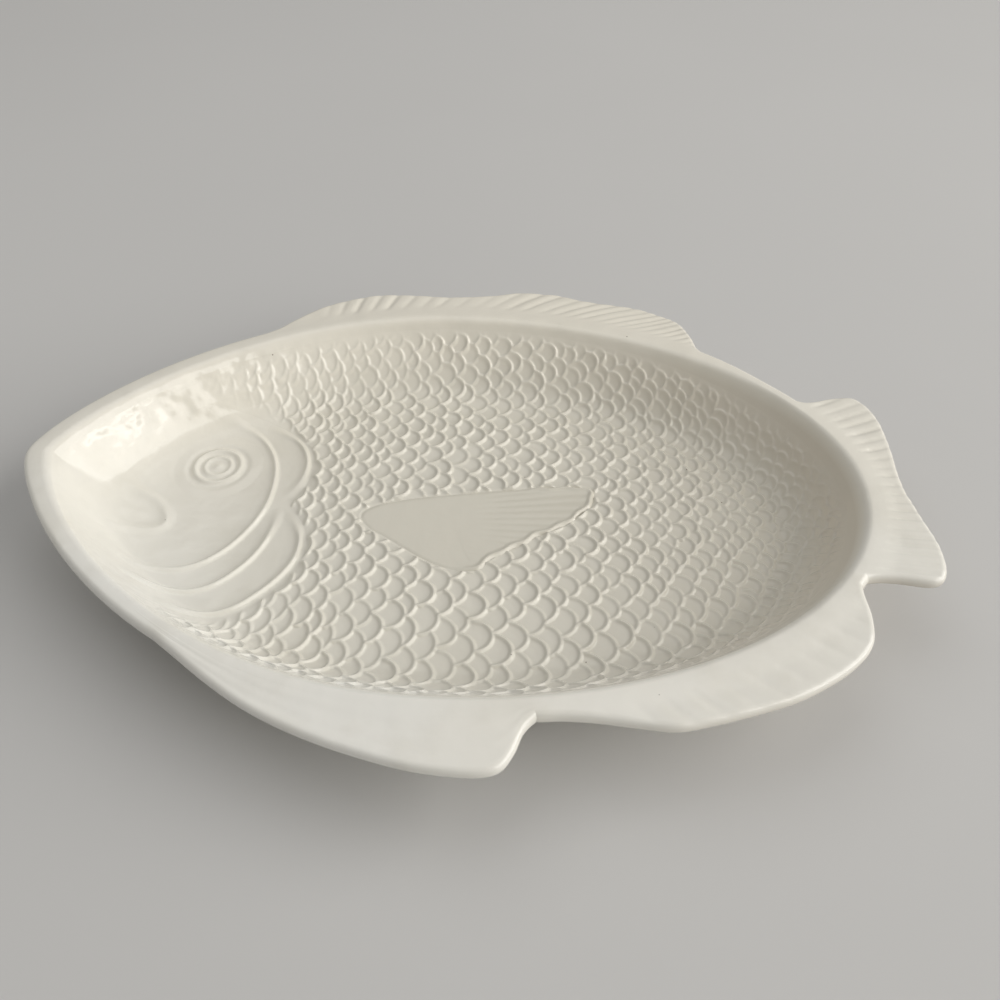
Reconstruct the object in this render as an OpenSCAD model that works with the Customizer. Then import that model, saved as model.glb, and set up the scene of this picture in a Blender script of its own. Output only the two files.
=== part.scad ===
// Fish shaped platter in white glazed ceramic: a coved well under a smooth lip, a low foot, four ribbed
// fins on the lip, the eye, gill covers, mouth and side fin on the well's floor, and the moulded scales.
// Millimetres. +X runs to the tail, +Y to the back fin, +Z up. The origin lies on the table, under the
// middle of the outline.

/* [Well] */
// Length of the well between the inner edges of its lip
well_l = 281.5; // [200:1:420]
// Width of the well between the inner edges of its lip
well_w = 181; // [150:1:260]
// Depth of the well, from the top of the lip to its flat floor
well_depth = 23.5; // [14:0.5:34]
// Plan width of the coved wall at the back and at the belly
side_run = 25.5; // [18:0.5:34]
// Plan width of the coved wall at the snout and at the tail
end_run = 24.5; // [18:0.5:34]

/* [Lip and shell] */
// Width of the lip at the back of the head; the rest of the lip is a share of it
lip_head_w = 8.5; // [6:0.25:14]
// Thickness of the lip and the fins
rim_t = 5; // [3.5:0.25:8]
// Thickness of the coved wall
wall_t = 5; // [3.5:0.25:7]
// Thickness of the floor
base_t = 5; // [3.5:0.25:8]
// Fall from the lip's crown to its outer edge
edge_drop = 1.2; // [0.6:0.1:1.8]

/* [Foot] */
// Height of the foot under the floor
foot_h = 3; // [1.5:0.25:6]
// Width of the foot's flat, unglazed face
foot_w = 5; // [3:0.5:10]
// Distance from the start of the coved wall in to the foot
foot_inset = 4; // [2:0.5:12]

/* [Fins] */
// Reach of the back fin beyond the lip
dorsal_reach = 16.5; // [8:0.5:26]
// Reach of the tail fin beyond the lip
tail_reach = 20; // [8:0.5:30]
// Reach of the anal fin beyond the lip
anal_reach = 15; // [8:0.5:24]
// Reach of the belly fin beyond the lip
pelvic_reach = 17.6; // [8:0.5:26]
// Height of a fin ray
ray_h = 0.8; // [0.3:0.1:1.4]
// Fall of a fin from its root to its edge
fin_droop = 0.4; // [0:0.1:2.5]

/* [Eye] */
// Radius of the outer eye ring, to its middle
eye_ring_r = 8.7; // [6.5:0.1:10]
// Radius of the inner eye ring, to its middle
pupil_ring_r = 4.9; // [3.5:0.1:5.6]
// Width of an eye ring
eye_ring_w = 2.2; // [1:0.1:2.4]
// Radius of the pupil's dot
pupil_r = 2.2; // [1:0.1:2.4]
// Height of the eye rings
eye_h = 0.9; // [0.5:0.1:1.6]

/* [Gills and mouth] */
// Width of a gill ridge
gill_ridge_w = 2; // [1.2:0.1:3]
// Height of the gill ridges
gill_ridge_h = 1; // [0.5:0.1:1.8]
// Width of the lip ridge round the mouth
mouth_ridge_w = 1.8; // [1:0.1:3]
// Height of the lip ridge round the mouth
mouth_ridge_h = 0.8; // [0.4:0.1:1.6]

/* [Side fin] */
// Length of the side fin
pectoral_l = 83; // [60:1:92]
// Width of the side fin
pectoral_w = 41; // [28:1:52]
// Thickness of the side fin's plate
pectoral_t = 1; // [0.6:0.1:1.8]
// Width of a ray on the side fin
pectoral_ray_w = 1; // [0.6:0.1:1.6]
// Height of a ray on the side fin
pectoral_ray_h = 0.4; // [0.2:0.1:0.8]

/* [Scales] */
// Spacing of the scales within a column, from back to belly
scale_row = 9.6; // [7:0.2:14]
// Spacing of the columns, from head to tail
scale_col = 5.3; // [4:0.1:9]
// Height of a scale's free edge
scale_rise = 0.8; // [0.4:0.1:1.4]
// Gap between neighbouring scales, and under the scales on the wall
scale_gap = 0.3; // [0.2:0.1:0.8]
// How far up the wall the scales reach, as a share of its plan width
scale_top_share = 0.88; // [0.3:0.02:0.94]

/* [Hidden] */
glaze = "#ece7da";
bare_clay = "#d8c7ab";

// How sharply the head end of the well closes to the snout; 1 would be an ellipse
head_power = 1.48;
// Points round the dish, and the step between them in degrees
around = 192;
turn_step = 360 / around;
// Fin sections within one step, so that a ray takes one step
ray_split = 2;

// Levels
floor_z = foot_h + base_t;
top_z = floor_z + well_depth;
side_top_z = top_z - edge_drop;
side_low_z = top_z - rim_t + edge_drop / 2;

// Half axes of the well's edge and of its flat floor
well_hl = well_l / 2;
well_hw = well_w / 2;
floor_hl = well_hl - end_run;
floor_hw = well_hw - side_run;

// Width of the lip round the dish: share of a turn, counted from the tail's middle over the back, and
// share of the width at the head
lip_width_shares = [[0, 0.7], [0.1, 0.54], [0.15, 0.86], [0.35, 1.04], [0.5, 1.05], [0.56, 0.86],
                    [0.65, 0.69], [0.75, 0.68], [0.92, 0.68], [1, 0.7]];

// Where each fin starts and ends, as shares of the same turn
dorsal_span_shares = [0.3385, 0.1458];
tail_span_shares = [0.0833, -0.0573];
anal_span_shares = [0.7917, 0.9323];
pelvic_span_shares = [0.6667, 0.7917];

// Outline of each fin: share of its span from its first end, share of its reach beyond the lip
dorsal_shares = [[0, 0.06], [0.03, 0.21], [0.08, 0.45], [0.125, 0.63], [0.2, 0.775], [0.245, 0.8],
                 [0.33, 0.66], [0.39, 0.57], [0.455, 0.63], [0.5, 0.74], [0.545, 0.91], [0.59, 0.96],
                 [0.635, 0.98], [0.68, 0.905], [0.73, 0.9], [0.77, 0.945], [0.82, 0.98], [0.86, 0.93],
                 [0.92, 0.81], [0.97, 0.38], [1, 0.06]];
tail_shares = [[0, 0.06], [0.02, 0.24], [0.035, 0.48], [0.06, 0.77], [0.08, 0.9], [0.11, 0.945],
               [0.155, 0.935], [0.22, 0.84], [0.29, 0.7], [0.37, 0.56], [0.45, 0.45], [0.53, 0.415],
               [0.575, 0.44], [0.675, 0.595], [0.79, 0.875], [0.88, 1], [0.92, 0.87], [0.957, 0.38],
               [1, 0.05]];
anal_shares = [[0, 0.06], [0.06, 0.1], [0.135, 0.24], [0.215, 0.475], [0.295, 0.725], [0.385, 0.805],
               [0.48, 0.88], [0.58, 0.97], [0.67, 1], [0.775, 0.99], [0.86, 0.87], [0.935, 0.5],
               [1, 0.08]];
pelvic_shares = [[0, 0.05], [0.06, 0.1], [0.16, 0.225], [0.295, 0.413], [0.405, 0.545], [0.51, 0.665],
                 [0.6, 0.77], [0.69, 0.885], [0.78, 0.96], [0.865, 0.98], [0.91, 0.88], [0.942, 0.59],
                 [0.965, 0.27], [1, 0.05]];
// Across a fin: where its top's lines lie from root to edge, and how much of a ray's height each has
fin_cross_shares = [[0, 0], [0.3, 0.6], [0.65, 1], [0.92, 0.7]];
// Where a fin's underside turns up to its edge
fin_under_share = 0.9;
// How far back a fin's edge is swept along its span
sweep_share = 0.03;

// Lines of the head on the flat floor, as shares of its half length and half width
cheek_shares = [[-0.69, 0.585], [-0.655, 0.555], [-0.598, 0.368], [-0.573, 0.15], [-0.581, 0.005],
                [-0.614, -0.17], [-0.671, -0.315], [-0.736, -0.417], [-0.79, -0.46]];
upper_gill_shares = [[-0.665, 0.66], [-0.589, 0.572], [-0.515, 0.442], [-0.491, 0.325], [-0.499, 0.178],
                     [-0.535, 0.085]];
middle_gill_shares = [[-0.54, 0.02], [-0.54, -0.112], [-0.565, -0.286], [-0.622, -0.432],
                      [-0.688, -0.548], [-0.735, -0.59]];
lower_gill_shares = [[-0.49, -0.035], [-0.45, -0.142], [-0.434, -0.286], [-0.467, -0.46],
                     [-0.524, -0.606], [-0.585, -0.7]];
mouth_shares = [[-0.965, 0.075], [-0.916, 0.034], [-0.868, -0.054], [-0.851, -0.142], [-0.875, -0.19],
                [-0.92, -0.2]];
eye_at_shares = [-0.785, 0.309];

// Outline of the side fin as shares of its length and width, from its own middle, and that middle
pectoral_shares = [[-0.5, 0.055], [-0.455, 0.17], [-0.34, 0.262], [-0.228, 0.33], [-0.114, 0.377],
                   [0.114, 0.47], [0.34, 0.525], [0.5, 0.47], [0.489, 0.262], [0.432, 0.145],
                   [0.364, 0.055], [0.284, -0.015], [0.228, -0.13], [0.17, -0.223], [0.113, -0.316],
                   [0.056, -0.452], [0.022, -0.475], [-0.171, -0.43], [-0.285, -0.29], [-0.365, -0.197],
                   [-0.456, -0.083]];
pectoral_at_shares = [0.081, -0.045];
// Ends of the side fin's rays, from the head end to the tail end, as shares of its length and width
pectoral_ray_shares = [[[-0.1, 0.25], [0.4, 0.4]], [[-0.1, 0.15], [0.42, 0.27]],
                       [[-0.12, 0.06], [0.36, 0.14]], [[-0.14, -0.02], [0.29, 0.02]],
                       [[-0.16, -0.1], [0.2, -0.11]], [[-0.17, -0.19], [0.1, -0.24]],
                       [[-0.17, -0.28], [0.03, -0.36]]];

// Rear edge of the head: share of the floor's half width, share of its half length, with the wall laid flat
head_edge_shares = [[-1.7, -0.86], [-0.95, -0.8], [-0.78, -0.64], [-0.7, -0.585], [-0.606, -0.524],
                    [-0.46, -0.467], [-0.286, -0.434], [-0.142, -0.45], [-0.035, -0.49], [0.08, -0.52],
                    [0.178, -0.499], [0.325, -0.491], [0.442, -0.515], [0.572, -0.589], [0.7, -0.69],
                    [0.76, -0.9], [0.85, -0.97], [1.7, -1]];

// Rings across the shell's wall: shares of the way up the cove inside, and outside from its top down
cove_in_shares = [0.2, 0.4, 0.6, 0.8, 0.94];
cove_out_shares = [0.85, 0.65, 0.45, 0.25, 0.1];
// Rings over the lip: share of its width, share of the edge's fall
lip_top_shares = [[0.12, 0.3], [0.45, 0], [0.8, 0.15]];
lip_under_shares = [0.8, 0.42];

// Corners on each curve between two of its points
curve_steps = 4;

// Small helpers
function sign_power(v, p) = sign(v) * pow(abs(v), p);
function mix(a, b, w) = a + (b - a) * w;
function flat_len(v) = sqrt(v[0] * v[0] + v[1] * v[1]);

// A smooth value between the rows of a table, each row a place and its value
function row_before(t, u, i = 0) = i >= len(t) - 2 || u < t[i + 1][0] ? i : row_before(t, u, i + 1);
function row_slope(t, i) =
    let (lo = max(i - 1, 0), hi = min(i + 1, len(t) - 1))
    (t[hi][1] - t[lo][1]) / (t[hi][0] - t[lo][0]);
function table_at(t, u) =
    let (i = row_before(t, u), d = t[i + 1][0] - t[i][0], w = (u - t[i][0]) / d)
    t[i][1] * (1 + 2 * w) * (1 - w) * (1 - w) + t[i + 1][1] * w * w * (3 - 2 * w)
    + d * row_slope(t, i) * w * (1 - w) * (1 - w) + d * row_slope(t, i + 1) * w * w * (w - 1);

// A smooth open or closed curve through points
function curve_knot(p, i, shut) = shut ? p[(i + len(p)) % len(p)] : p[min(max(i, 0), len(p) - 1)];
function curve_point(p, i, w, shut) =
    let (a = curve_knot(p, i - 1, shut), b = curve_knot(p, i, shut), c = curve_knot(p, i + 1, shut),
         d = curve_knot(p, i + 2, shut))
    0.5 * (2 * b + (c - a) * w + (2 * a - 5 * b + 4 * c - d) * w * w
           + (3 * b - 3 * c + d - a) * w * w * w);
function smooth_curve(p, shut) = [
    for (i = [0 : len(p) - (shut ? 1 : 2)], k = [0 : curve_steps - 1])
        curve_point(p, i, k / curve_steps, shut),
    if (!shut) p[len(p) - 1]
];

// The well's edge, its outward normal and the lip's outer edge, at an angle
function well_edge(a) = [well_hl * cos(a), well_hw * sign_power(sin(a), cos(a) < 0 ? head_power : 1)];
function out_dir(a) =
    let (d = well_edge(a + turn_step / 4) - well_edge(a - turn_step / 4))
    [d[1], -d[0]] / flat_len(d);
function lip_w(a) = lip_head_w * table_at(lip_width_shares, a / 360 - floor(a / 360));
function on_lip(a, share) = well_edge(a) + out_dir(a) * lip_w(a) * share;
function grid_angle(i) = i * turn_step;
lip_edge = [for (i = [0 : around - 1]) on_lip(grid_angle(i), 1)];
function lip_corner(i) = lip_edge[(i + 2 * around) % around];

// The coved wall: it starts at the flat floor's oval, straight towards the middle from the well's edge
function floor_edge(a) =
    let (w = well_edge(a))
    w / flat_len([w[0] / floor_hl, w[1] / floor_hw]);
function cove_level(s) = well_depth * (1 - cos(90 * s));
function cove_inside(a, s) =
    let (p = mix(floor_edge(a), well_edge(a), s))
    [p[0], p[1], floor_z + cove_level(s)];
function cove_outside(a, s) =
    let (across = well_edge(a) - floor_edge(a), run = flat_len(across),
         steep = atan(well_depth * PI / 2 * sin(90 * s) / run),
         p = mix(floor_edge(a), well_edge(a), s) + across / run * wall_t * sin(steep),
         thick = mix(base_t, wall_t, min(1, 4 * s)))
    [p[0], p[1], max(floor_z + cove_level(s) - thick * cos(steep), foot_h)];
function lip_ring(share, z) = [
    for (i = [0 : around - 1])
        let (p = share == 1 ? lip_edge[i] : on_lip(grid_angle(i), share))
        [p[0], p[1], z]
];

// All rings of the shell, from the floor's rim up, over the lip and down to the underside
shell_rings = concat(
    [[for (i = [0 : around - 1]) cove_inside(grid_angle(i), 0)]],
    [for (s = cove_in_shares) [for (i = [0 : around - 1]) cove_inside(grid_angle(i), s)]],
    [for (r = lip_top_shares) lip_ring(r[0], top_z - r[1] * edge_drop)],
    [lip_ring(1, side_top_z), lip_ring(1, side_low_z)],
    [for (share = lip_under_shares) lip_ring(share, top_z - rim_t)],
    [for (s = cove_out_shares) [for (i = [0 : around - 1]) cove_outside(grid_angle(i), s)]],
    [[for (p = [for (i = [0 : around - 1]) floor_edge(grid_angle(i))]) [p[0], p[1], foot_h]]]
);

// One fin: its span in steps of the grid, and its sections from the lower angle up
function span_steps(span) = [round(span[0] * around), round(span[1] * around)];
function fin_edge(span, shares, reach, u) =
    let (s = span_steps(span), v = u + sweep_share * sin(180 * u), a = grid_angle(mix(s[0], s[1], v)))
    on_lip(a, 1) + out_dir(a) * reach * table_at(shares, v);
function fin_root(g) = mix(lip_corner(floor(g)), lip_corner(floor(g) + 1), g - floor(g));
function fin_section(span, shares, reach, g, ray) =
    let (s = span_steps(span), u = (g - s[0]) / (s[1] - s[0]), root = fin_root(g),
         edge = fin_edge(span, shares, reach, u), ray_now = ray ? ray_h : 0)
    concat(
        [for (c = fin_cross_shares)
            let (p = mix(root, edge, c[0]))
            [p[0], p[1], side_top_z - fin_droop * c[0] * c[0] + ray_now * c[1]]],
        [[edge[0], edge[1], mix(side_low_z, side_top_z, 0.5) - fin_droop]],
        [let (p = mix(root, edge, fin_under_share)) [p[0], p[1], side_low_z - fin_droop]],
        [[root[0], root[1], side_low_z]]
    );
function fin_sections(span, shares, reach) =
    let (s = span_steps(span), low = min(s), count = (max(s) - low) * ray_split)
    [for (k = [0 : count])
        fin_section(span, shares, reach, low + k / ray_split, k % 2 == 1 && k > 1 && k < count - 1)];

// The middle of the outline, which stands over the origin
fin_outline = [
    for (f = [[dorsal_span_shares, dorsal_shares, dorsal_reach], [tail_span_shares, tail_shares, tail_reach],
              [anal_span_shares, anal_shares, anal_reach], [pelvic_span_shares, pelvic_shares, pelvic_reach]],
         section = fin_sections(f[0], f[1], f[2]))
        section[len(fin_cross_shares)]
];
outline_x = concat([for (p = lip_edge) p[0]], [for (p = fin_outline) p[0]]);
outline_y = concat([for (p = lip_edge) p[1]], [for (p = fin_outline) p[1]]);
middle = [(max(outline_x) + min(outline_x)) / 2, (max(outline_y) + min(outline_y)) / 2];

function on_floor(shares) = [shares[0] * floor_hl, shares[1] * floor_hw];

// A band of even width along an open curve
function curve_side(c, i, half) =
    let (d = c[min(i + 1, len(c) - 1)] - c[max(i - 1, 0)])
    c[i] + [-d[1], d[0]] / flat_len(d) * half;
function band(points, w) =
    let (c = smooth_curve(points, false), n = len(c))
    concat([for (i = [0 : n - 1]) curve_side(c, i, w / 2)],
           [for (i = [n - 1 : -1 : 0]) curve_side(c, i, -w / 2)]);

// The side fin's outline, and whether a point lies inside a closed outline
pectoral_at = on_floor(pectoral_at_shares);
function on_pectoral(shares) = pectoral_at + [shares[0] * pectoral_l, shares[1] * pectoral_w];
pectoral_outline = smooth_curve([for (s = pectoral_shares) on_pectoral(s)], true);
function crossings(outline, p) = [
    for (i = [0 : len(outline) - 1])
        let (a = outline[i], b = outline[(i + 1) % len(outline)])
        if ((a[1] > p[1]) != (b[1] > p[1]) && p[0] < mix(a[0], b[0], (p[1] - a[1]) / (b[1] - a[1]))) 1
];
function inside(outline, p) = len(crossings(outline, p)) % 2 == 1;

// Reach of the flat floor and of the well's edge from the middle, in a direction of length one
function floor_reach(u) = 1 / flat_len([u[0] / floor_hl, u[1] / floor_hw]);
function in_well(p) =
    pow(abs(p[0]) / well_hl, 2) + pow(abs(p[1]) / well_hw, 2 / (p[0] < 0 ? head_power : 1)) < 1;
function well_reach(u, low = 0, high = well_hl, halvings = 20) =
    let (r = (low + high) / 2)
    halvings == 0 ? r : in_well(u * r) ? well_reach(u, r, high, halvings - 1)
                                       : well_reach(u, low, r, halvings - 1);

// The wall laid out flat: what lies beyond the floor's oval goes as far up the wall's facets instead.
// A spot is the direction from the middle, the reach and level on the facets, their slope and wall share.
wall_in_shares = concat([0], cove_in_shares);
function wall_row(start, run, left, k = 0) =
    let (s = [wall_in_shares[k], wall_in_shares[k + 1]],
         a = [start + run * s[0], cove_level(s[0])],
         d = [start + run * s[1], cove_level(s[1])] - a, size = flat_len(d))
    left > size && k < len(wall_in_shares) - 2
        ? wall_row(start, run, left - size, k + 1)
        : [a + d * left / size, d / size, mix(s[0], s[1], left / size)];
function wall_spot(p) =
    let (far = flat_len(p), u = p / far, start = floor_reach(u))
    far <= start ? [u, [far, 0], [1, 0], 0]
                 : concat([u], wall_row(start, well_reach(u) - start, far - start));
function on_skin(p, lift) =
    let (spot = wall_spot(p), r = spot[1] + [-spot[2][1], spot[2][0]] * lift)
    [spot[0][0] * r[0], spot[0][1] * r[0], r[1]];

// Scales: a place holds one if its whole tile is behind the head, off the side fin and low enough on the
// wall. Tiles wholly on the floor lie flat on it; the others follow the wall.
scale_r = scale_row / 2 - scale_gap / 2;
tile_corners = [for (a = [-90 : 30 : 90]) [cos(a), sin(a)]];
wall_tile_corners = [for (a = [-90 : 45 : 90]) [cos(a), sin(a)]];
function on_floor_oval(p) = flat_len([p[0] / floor_hl, p[1] / floor_hw]) < 1;
function on_bare_skin(p) =
    (on_floor_oval(p) || wall_spot(p)[3] < scale_top_share)
    && p[0] > floor_hl * table_at(head_edge_shares, p[1] / floor_hw) + gill_ridge_w
    && !inside(pectoral_outline, p);
function reached(p) = [for (c = tile_corners) p + c * (scale_r + scale_gap)];
function tile_fits(p) = len([for (c = reached(p)) if (!on_bare_skin(c)) 1]) == 0;
function is_flat(p) = len([for (c = reached(p)) if (!on_floor_oval(c)) 1]) == 0;
wall_length = max(side_run, end_run) + well_depth;
scale_cols = ceil((floor_hl + wall_length) / scale_col);
scale_rows = ceil((floor_hw + wall_length) / scale_row);
scale_places = [
    for (i = [-scale_cols : scale_cols], j = [-scale_rows : scale_rows])
        let (p = [i * scale_col, (j + abs(i % 2) / 2) * scale_row])
        if (tile_fits(p)) p
];

// Puts a piece drawn from the well's middle where the outline's middle is the origin
module placed(z = 0) {
    translate([-middle[0], -middle[1], z]) children();
}

// A skin between closed rings of points, each with as many points as the last
function skin_faces(rows, cols) = [
    for (r = [0 : rows - 2], c = [0 : cols - 1])
        let (a = r * cols + c, b = r * cols + (c + 1) % cols)
        each [[a, b, b + cols], [a, b + cols, a + cols]]
];

module dish_shell() {
    rings = len(shell_rings);
    points = [for (ring = shell_rings) each ring];
    top_face = [for (i = [around - 1 : -1 : 0]) i];
    low_face = [for (i = [0 : around - 1]) (rings - 1) * around + i];
    color(glaze)
        placed()
            polyhedron(points = points, faces = concat(skin_faces(rings, around), [top_face, low_face]));
}

module fin(span, shares, reach) {
    sections = fin_sections(span, shares, reach);
    count = len(sections);
    cross = len(sections[0]);
    points = [for (section = sections) each section];
    sides = [
        for (k = [0 : count - 2], m = [0 : cross - 1])
            let (a = k * cross + m, d = k * cross + (m + 1) % cross)
            each [[a, a + cross, d + cross], [a, d + cross, d]]
    ];
    caps = [[for (m = [0 : cross - 1]) m], [for (m = [cross - 1 : -1 : 0]) (count - 1) * cross + m]];
    color(glaze)
        placed()
            polyhedron(points = points, faces = concat(sides, caps));
}

module dorsal_fin() { fin(dorsal_span_shares, dorsal_shares, dorsal_reach); }
module tail_fin() { fin(tail_span_shares, tail_shares, tail_reach); }
module anal_fin() { fin(anal_span_shares, anal_shares, anal_reach); }
module pelvic_fin() { fin(pelvic_span_shares, pelvic_shares, pelvic_reach); }

module foot_outline(inset) {
    polygon([
        for (i = [0 : around - 1])
            [(floor_hl - inset) * cos(grid_angle(i)), (floor_hw - inset) * sin(grid_angle(i))]
    ]);
}

module foot_ring() {
    color(bare_clay)
        placed()
            linear_extrude(foot_h)
                difference() {
                    foot_outline(foot_inset);
                    foot_outline(foot_inset + foot_w);
                }
}

module ridge(shares, w, h) {
    linear_extrude(h) polygon(band([for (s = shares) on_floor(s)], w));
}

module gill_covers() {
    color(glaze)
        placed(floor_z)
            for (line = [cheek_shares, upper_gill_shares, middle_gill_shares, lower_gill_shares])
                ridge(line, gill_ridge_w, gill_ridge_h);
}

module mouth_lips() {
    color(glaze)
        placed(floor_z)
            ridge(mouth_shares, mouth_ridge_w, mouth_ridge_h);
}

module eye_ring(r) {
    rotate_extrude($fn = 96)
        translate([r, 0])
            intersection() {
                scale([eye_ring_w / 2, eye_h]) circle(1, $fn = 24);
                translate([-eye_ring_w, 0]) square([2 * eye_ring_w, eye_h]);
            }
}

module eye_rings() {
    color(glaze)
        placed(floor_z)
            translate(on_floor(eye_at_shares)) {
                eye_ring(eye_ring_r);
                eye_ring(pupil_ring_r);
                cylinder(h = eye_h / 2, r = pupil_r, $fn = 48);
            }
}

module pectoral_fin() {
    color(glaze)
        placed(floor_z) {
            linear_extrude(pectoral_t) polygon(pectoral_outline);
            for (line = pectoral_ray_shares)
                linear_extrude(pectoral_t + pectoral_ray_h)
                    polygon(band([for (s = line) on_pectoral(s)], pectoral_ray_w));
        }
}

module scale_tile() {
    lean = atan(scale_rise / scale_r);
    difference() {
        cylinder(h = scale_rise, r = scale_r, $fn = 32);
        rotate([0, -lean, 0])
            translate([-4 * scale_r, -2 * scale_r, 0])
                cube([8 * scale_r, 4 * scale_r, 2 * scale_r + scale_rise]);
    }
}

// A scale on the wall, with a few flat faces: the corners of its underside, then those of its free edge
module wall_scale_tile(p) {
    low = [for (c = wall_tile_corners) on_skin(p + c * scale_r, scale_gap)];
    high = [for (k = [1 : 3])
        let (c = wall_tile_corners[k]) on_skin(p + c * scale_r, scale_gap + scale_rise * c[0])];
    polyhedron(points = concat(low, high),
               faces = [[4, 7, 6], [6, 5, 0], [4, 6, 0], [0, 1, 2], [2, 3, 4], [0, 2, 4], [5, 6, 2],
                        [5, 2, 1], [6, 7, 3], [6, 3, 2], [0, 5, 1], [7, 4, 3]]);
}

module scales() {
    color(glaze)
        placed(floor_z)
            for (p = scale_places)
                if (is_flat(p)) translate(p) scale_tile();
                else wall_scale_tile(p);
}

dish_shell();
foot_ring();
dorsal_fin();
tail_fin();
anal_fin();
pelvic_fin();
pectoral_fin();
eye_rings();
gill_covers();
mouth_lips();
scales();
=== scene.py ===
"""Fish shaped platter in white glazed ceramic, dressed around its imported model.

Metres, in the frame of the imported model: +X to the tail, +Y to the back fin, +Z up. Lines of the dish are
worked out from the middle of its well and moved into place at the end of each piece.
"""
import math

import bmesh
import bpy
import numpy as np
from bpy.props import FloatProperty, FloatVectorProperty, IntProperty, PointerProperty
from mathutils import Matrix, Vector


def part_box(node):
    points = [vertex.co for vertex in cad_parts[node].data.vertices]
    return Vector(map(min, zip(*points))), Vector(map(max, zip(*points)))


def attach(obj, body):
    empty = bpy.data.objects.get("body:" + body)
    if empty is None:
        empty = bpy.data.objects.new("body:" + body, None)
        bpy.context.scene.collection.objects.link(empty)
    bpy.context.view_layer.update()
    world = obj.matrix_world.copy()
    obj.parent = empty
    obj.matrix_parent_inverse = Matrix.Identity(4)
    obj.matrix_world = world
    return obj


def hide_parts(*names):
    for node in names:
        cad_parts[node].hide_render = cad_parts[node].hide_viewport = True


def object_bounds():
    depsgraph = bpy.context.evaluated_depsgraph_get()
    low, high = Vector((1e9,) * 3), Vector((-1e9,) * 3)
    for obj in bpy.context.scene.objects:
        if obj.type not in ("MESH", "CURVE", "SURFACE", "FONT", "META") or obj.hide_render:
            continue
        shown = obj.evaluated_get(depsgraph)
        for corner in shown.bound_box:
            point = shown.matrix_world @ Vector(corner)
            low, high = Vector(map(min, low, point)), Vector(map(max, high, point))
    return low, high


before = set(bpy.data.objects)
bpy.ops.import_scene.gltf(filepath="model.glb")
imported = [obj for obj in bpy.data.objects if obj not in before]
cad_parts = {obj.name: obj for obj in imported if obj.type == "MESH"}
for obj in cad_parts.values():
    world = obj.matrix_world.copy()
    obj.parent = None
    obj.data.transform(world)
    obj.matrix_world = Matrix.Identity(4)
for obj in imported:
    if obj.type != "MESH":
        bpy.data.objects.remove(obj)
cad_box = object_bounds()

bl_info = {
    "name": "Fish Platter",
    "version": (1, 0, 0),
    "blender": (4, 5, 0),
    "location": "3D View > Sidebar > Platter",
    "description": "Builds a glazed fish shaped platter with ribbed fins and moulded scales",
    "category": "Add Mesh",
}

MM = 0.001

# How sharply the well's edge runs to a point at the head
HEAD_POWER = 1.48
# The construction sets the fins' ends in whole steps of a turn
TURN_STEPS = 192
TURN_STEP = math.radians(360 / TURN_STEPS)
# Width of the lip, by shares of a turn from the tail's middle over the back
LIP_WIDTH_SHARES = [(0, 0.7), (0.1, 0.54), (0.15, 0.86), (0.35, 1.04), (0.5, 1.05), (0.56, 0.86),
                    (0.65, 0.69), (0.75, 0.68), (0.92, 0.68), (1, 0.7)]
# Reach of each fin beyond the lip: share of its span, share of its full reach
DORSAL_SHARES = [(0, 0.06), (0.03, 0.21), (0.08, 0.45), (0.125, 0.63), (0.2, 0.775), (0.245, 0.8),
                 (0.33, 0.66), (0.39, 0.57), (0.455, 0.63), (0.5, 0.74), (0.545, 0.91), (0.59, 0.96),
                 (0.635, 0.98), (0.68, 0.905), (0.73, 0.9), (0.77, 0.945), (0.82, 0.98), (0.86, 0.93),
                 (0.92, 0.81), (0.97, 0.38), (1, 0.06)]
TAIL_SHARES = [(0, 0.06), (0.02, 0.24), (0.035, 0.48), (0.06, 0.77), (0.08, 0.9), (0.11, 0.945),
               (0.155, 0.935), (0.22, 0.84), (0.29, 0.7), (0.37, 0.56), (0.45, 0.45), (0.53, 0.415),
               (0.575, 0.44), (0.675, 0.595), (0.79, 0.875), (0.88, 1), (0.92, 0.87), (0.957, 0.38),
               (1, 0.05)]
ANAL_SHARES = [(0, 0.06), (0.06, 0.1), (0.135, 0.24), (0.215, 0.475), (0.295, 0.725), (0.385, 0.805),
               (0.48, 0.88), (0.58, 0.97), (0.67, 1), (0.775, 0.99), (0.86, 0.87), (0.935, 0.5),
               (1, 0.08)]
PELVIC_SHARES = [(0, 0.035), (0.06, 0.095), (0.16, 0.225), (0.295, 0.413), (0.405, 0.545), (0.51, 0.665),
                 (0.6, 0.77), (0.69, 0.885), (0.78, 0.96), (0.865, 0.98), (0.91, 0.88), (0.942, 0.59),
                 (0.965, 0.27), (1, 0.05)]

# Crests of the head, in millimetres from the middle of the well, from the back down to the belly
CHEEK_LINE = [(-104, 42), (-92, 43.6), (-85, 41.5), (-79, 37.5), (-74, 32), (-70, 25), (-67.8, 17),
              (-67, 9), (-67.2, 1), (-69, -7), (-71.5, -13.5), (-75, -20), (-80, -26), (-85.5, -30),
              (-92, -32), (-100, -32), (-108, -30), (-115, -26.5), (-121, -22)]
UPPER_GILL_LINE = [(-80, 44.8), (-74.5, 42.8), (-69, 39.8), (-63.5, 36), (-59.3, 30.5), (-57, 23),
                   (-57.4, 15.5), (-60, 9), (-63.5, 3.5)]
MIDDLE_GILL_LINE = [(-63.8, 3), (-62.2, -4), (-62.2, -11), (-63.4, -18), (-66, -25), (-70, -31.5),
                    (-75, -37), (-80.5, -40.3), (-87, -41.5), (-95, -41), (-103, -38.5), (-110, -35)]
LOWER_GILL_LINE = [(-61.5, -0.5), (-55.5, -6), (-51.8, -12), (-50.6, -19), (-51.6, -26), (-55, -33.5),
                   (-60, -40.5), (-65, -45.8), (-71, -49.3), (-78, -50.6), (-86, -49.8), (-93, -47)]
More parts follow.
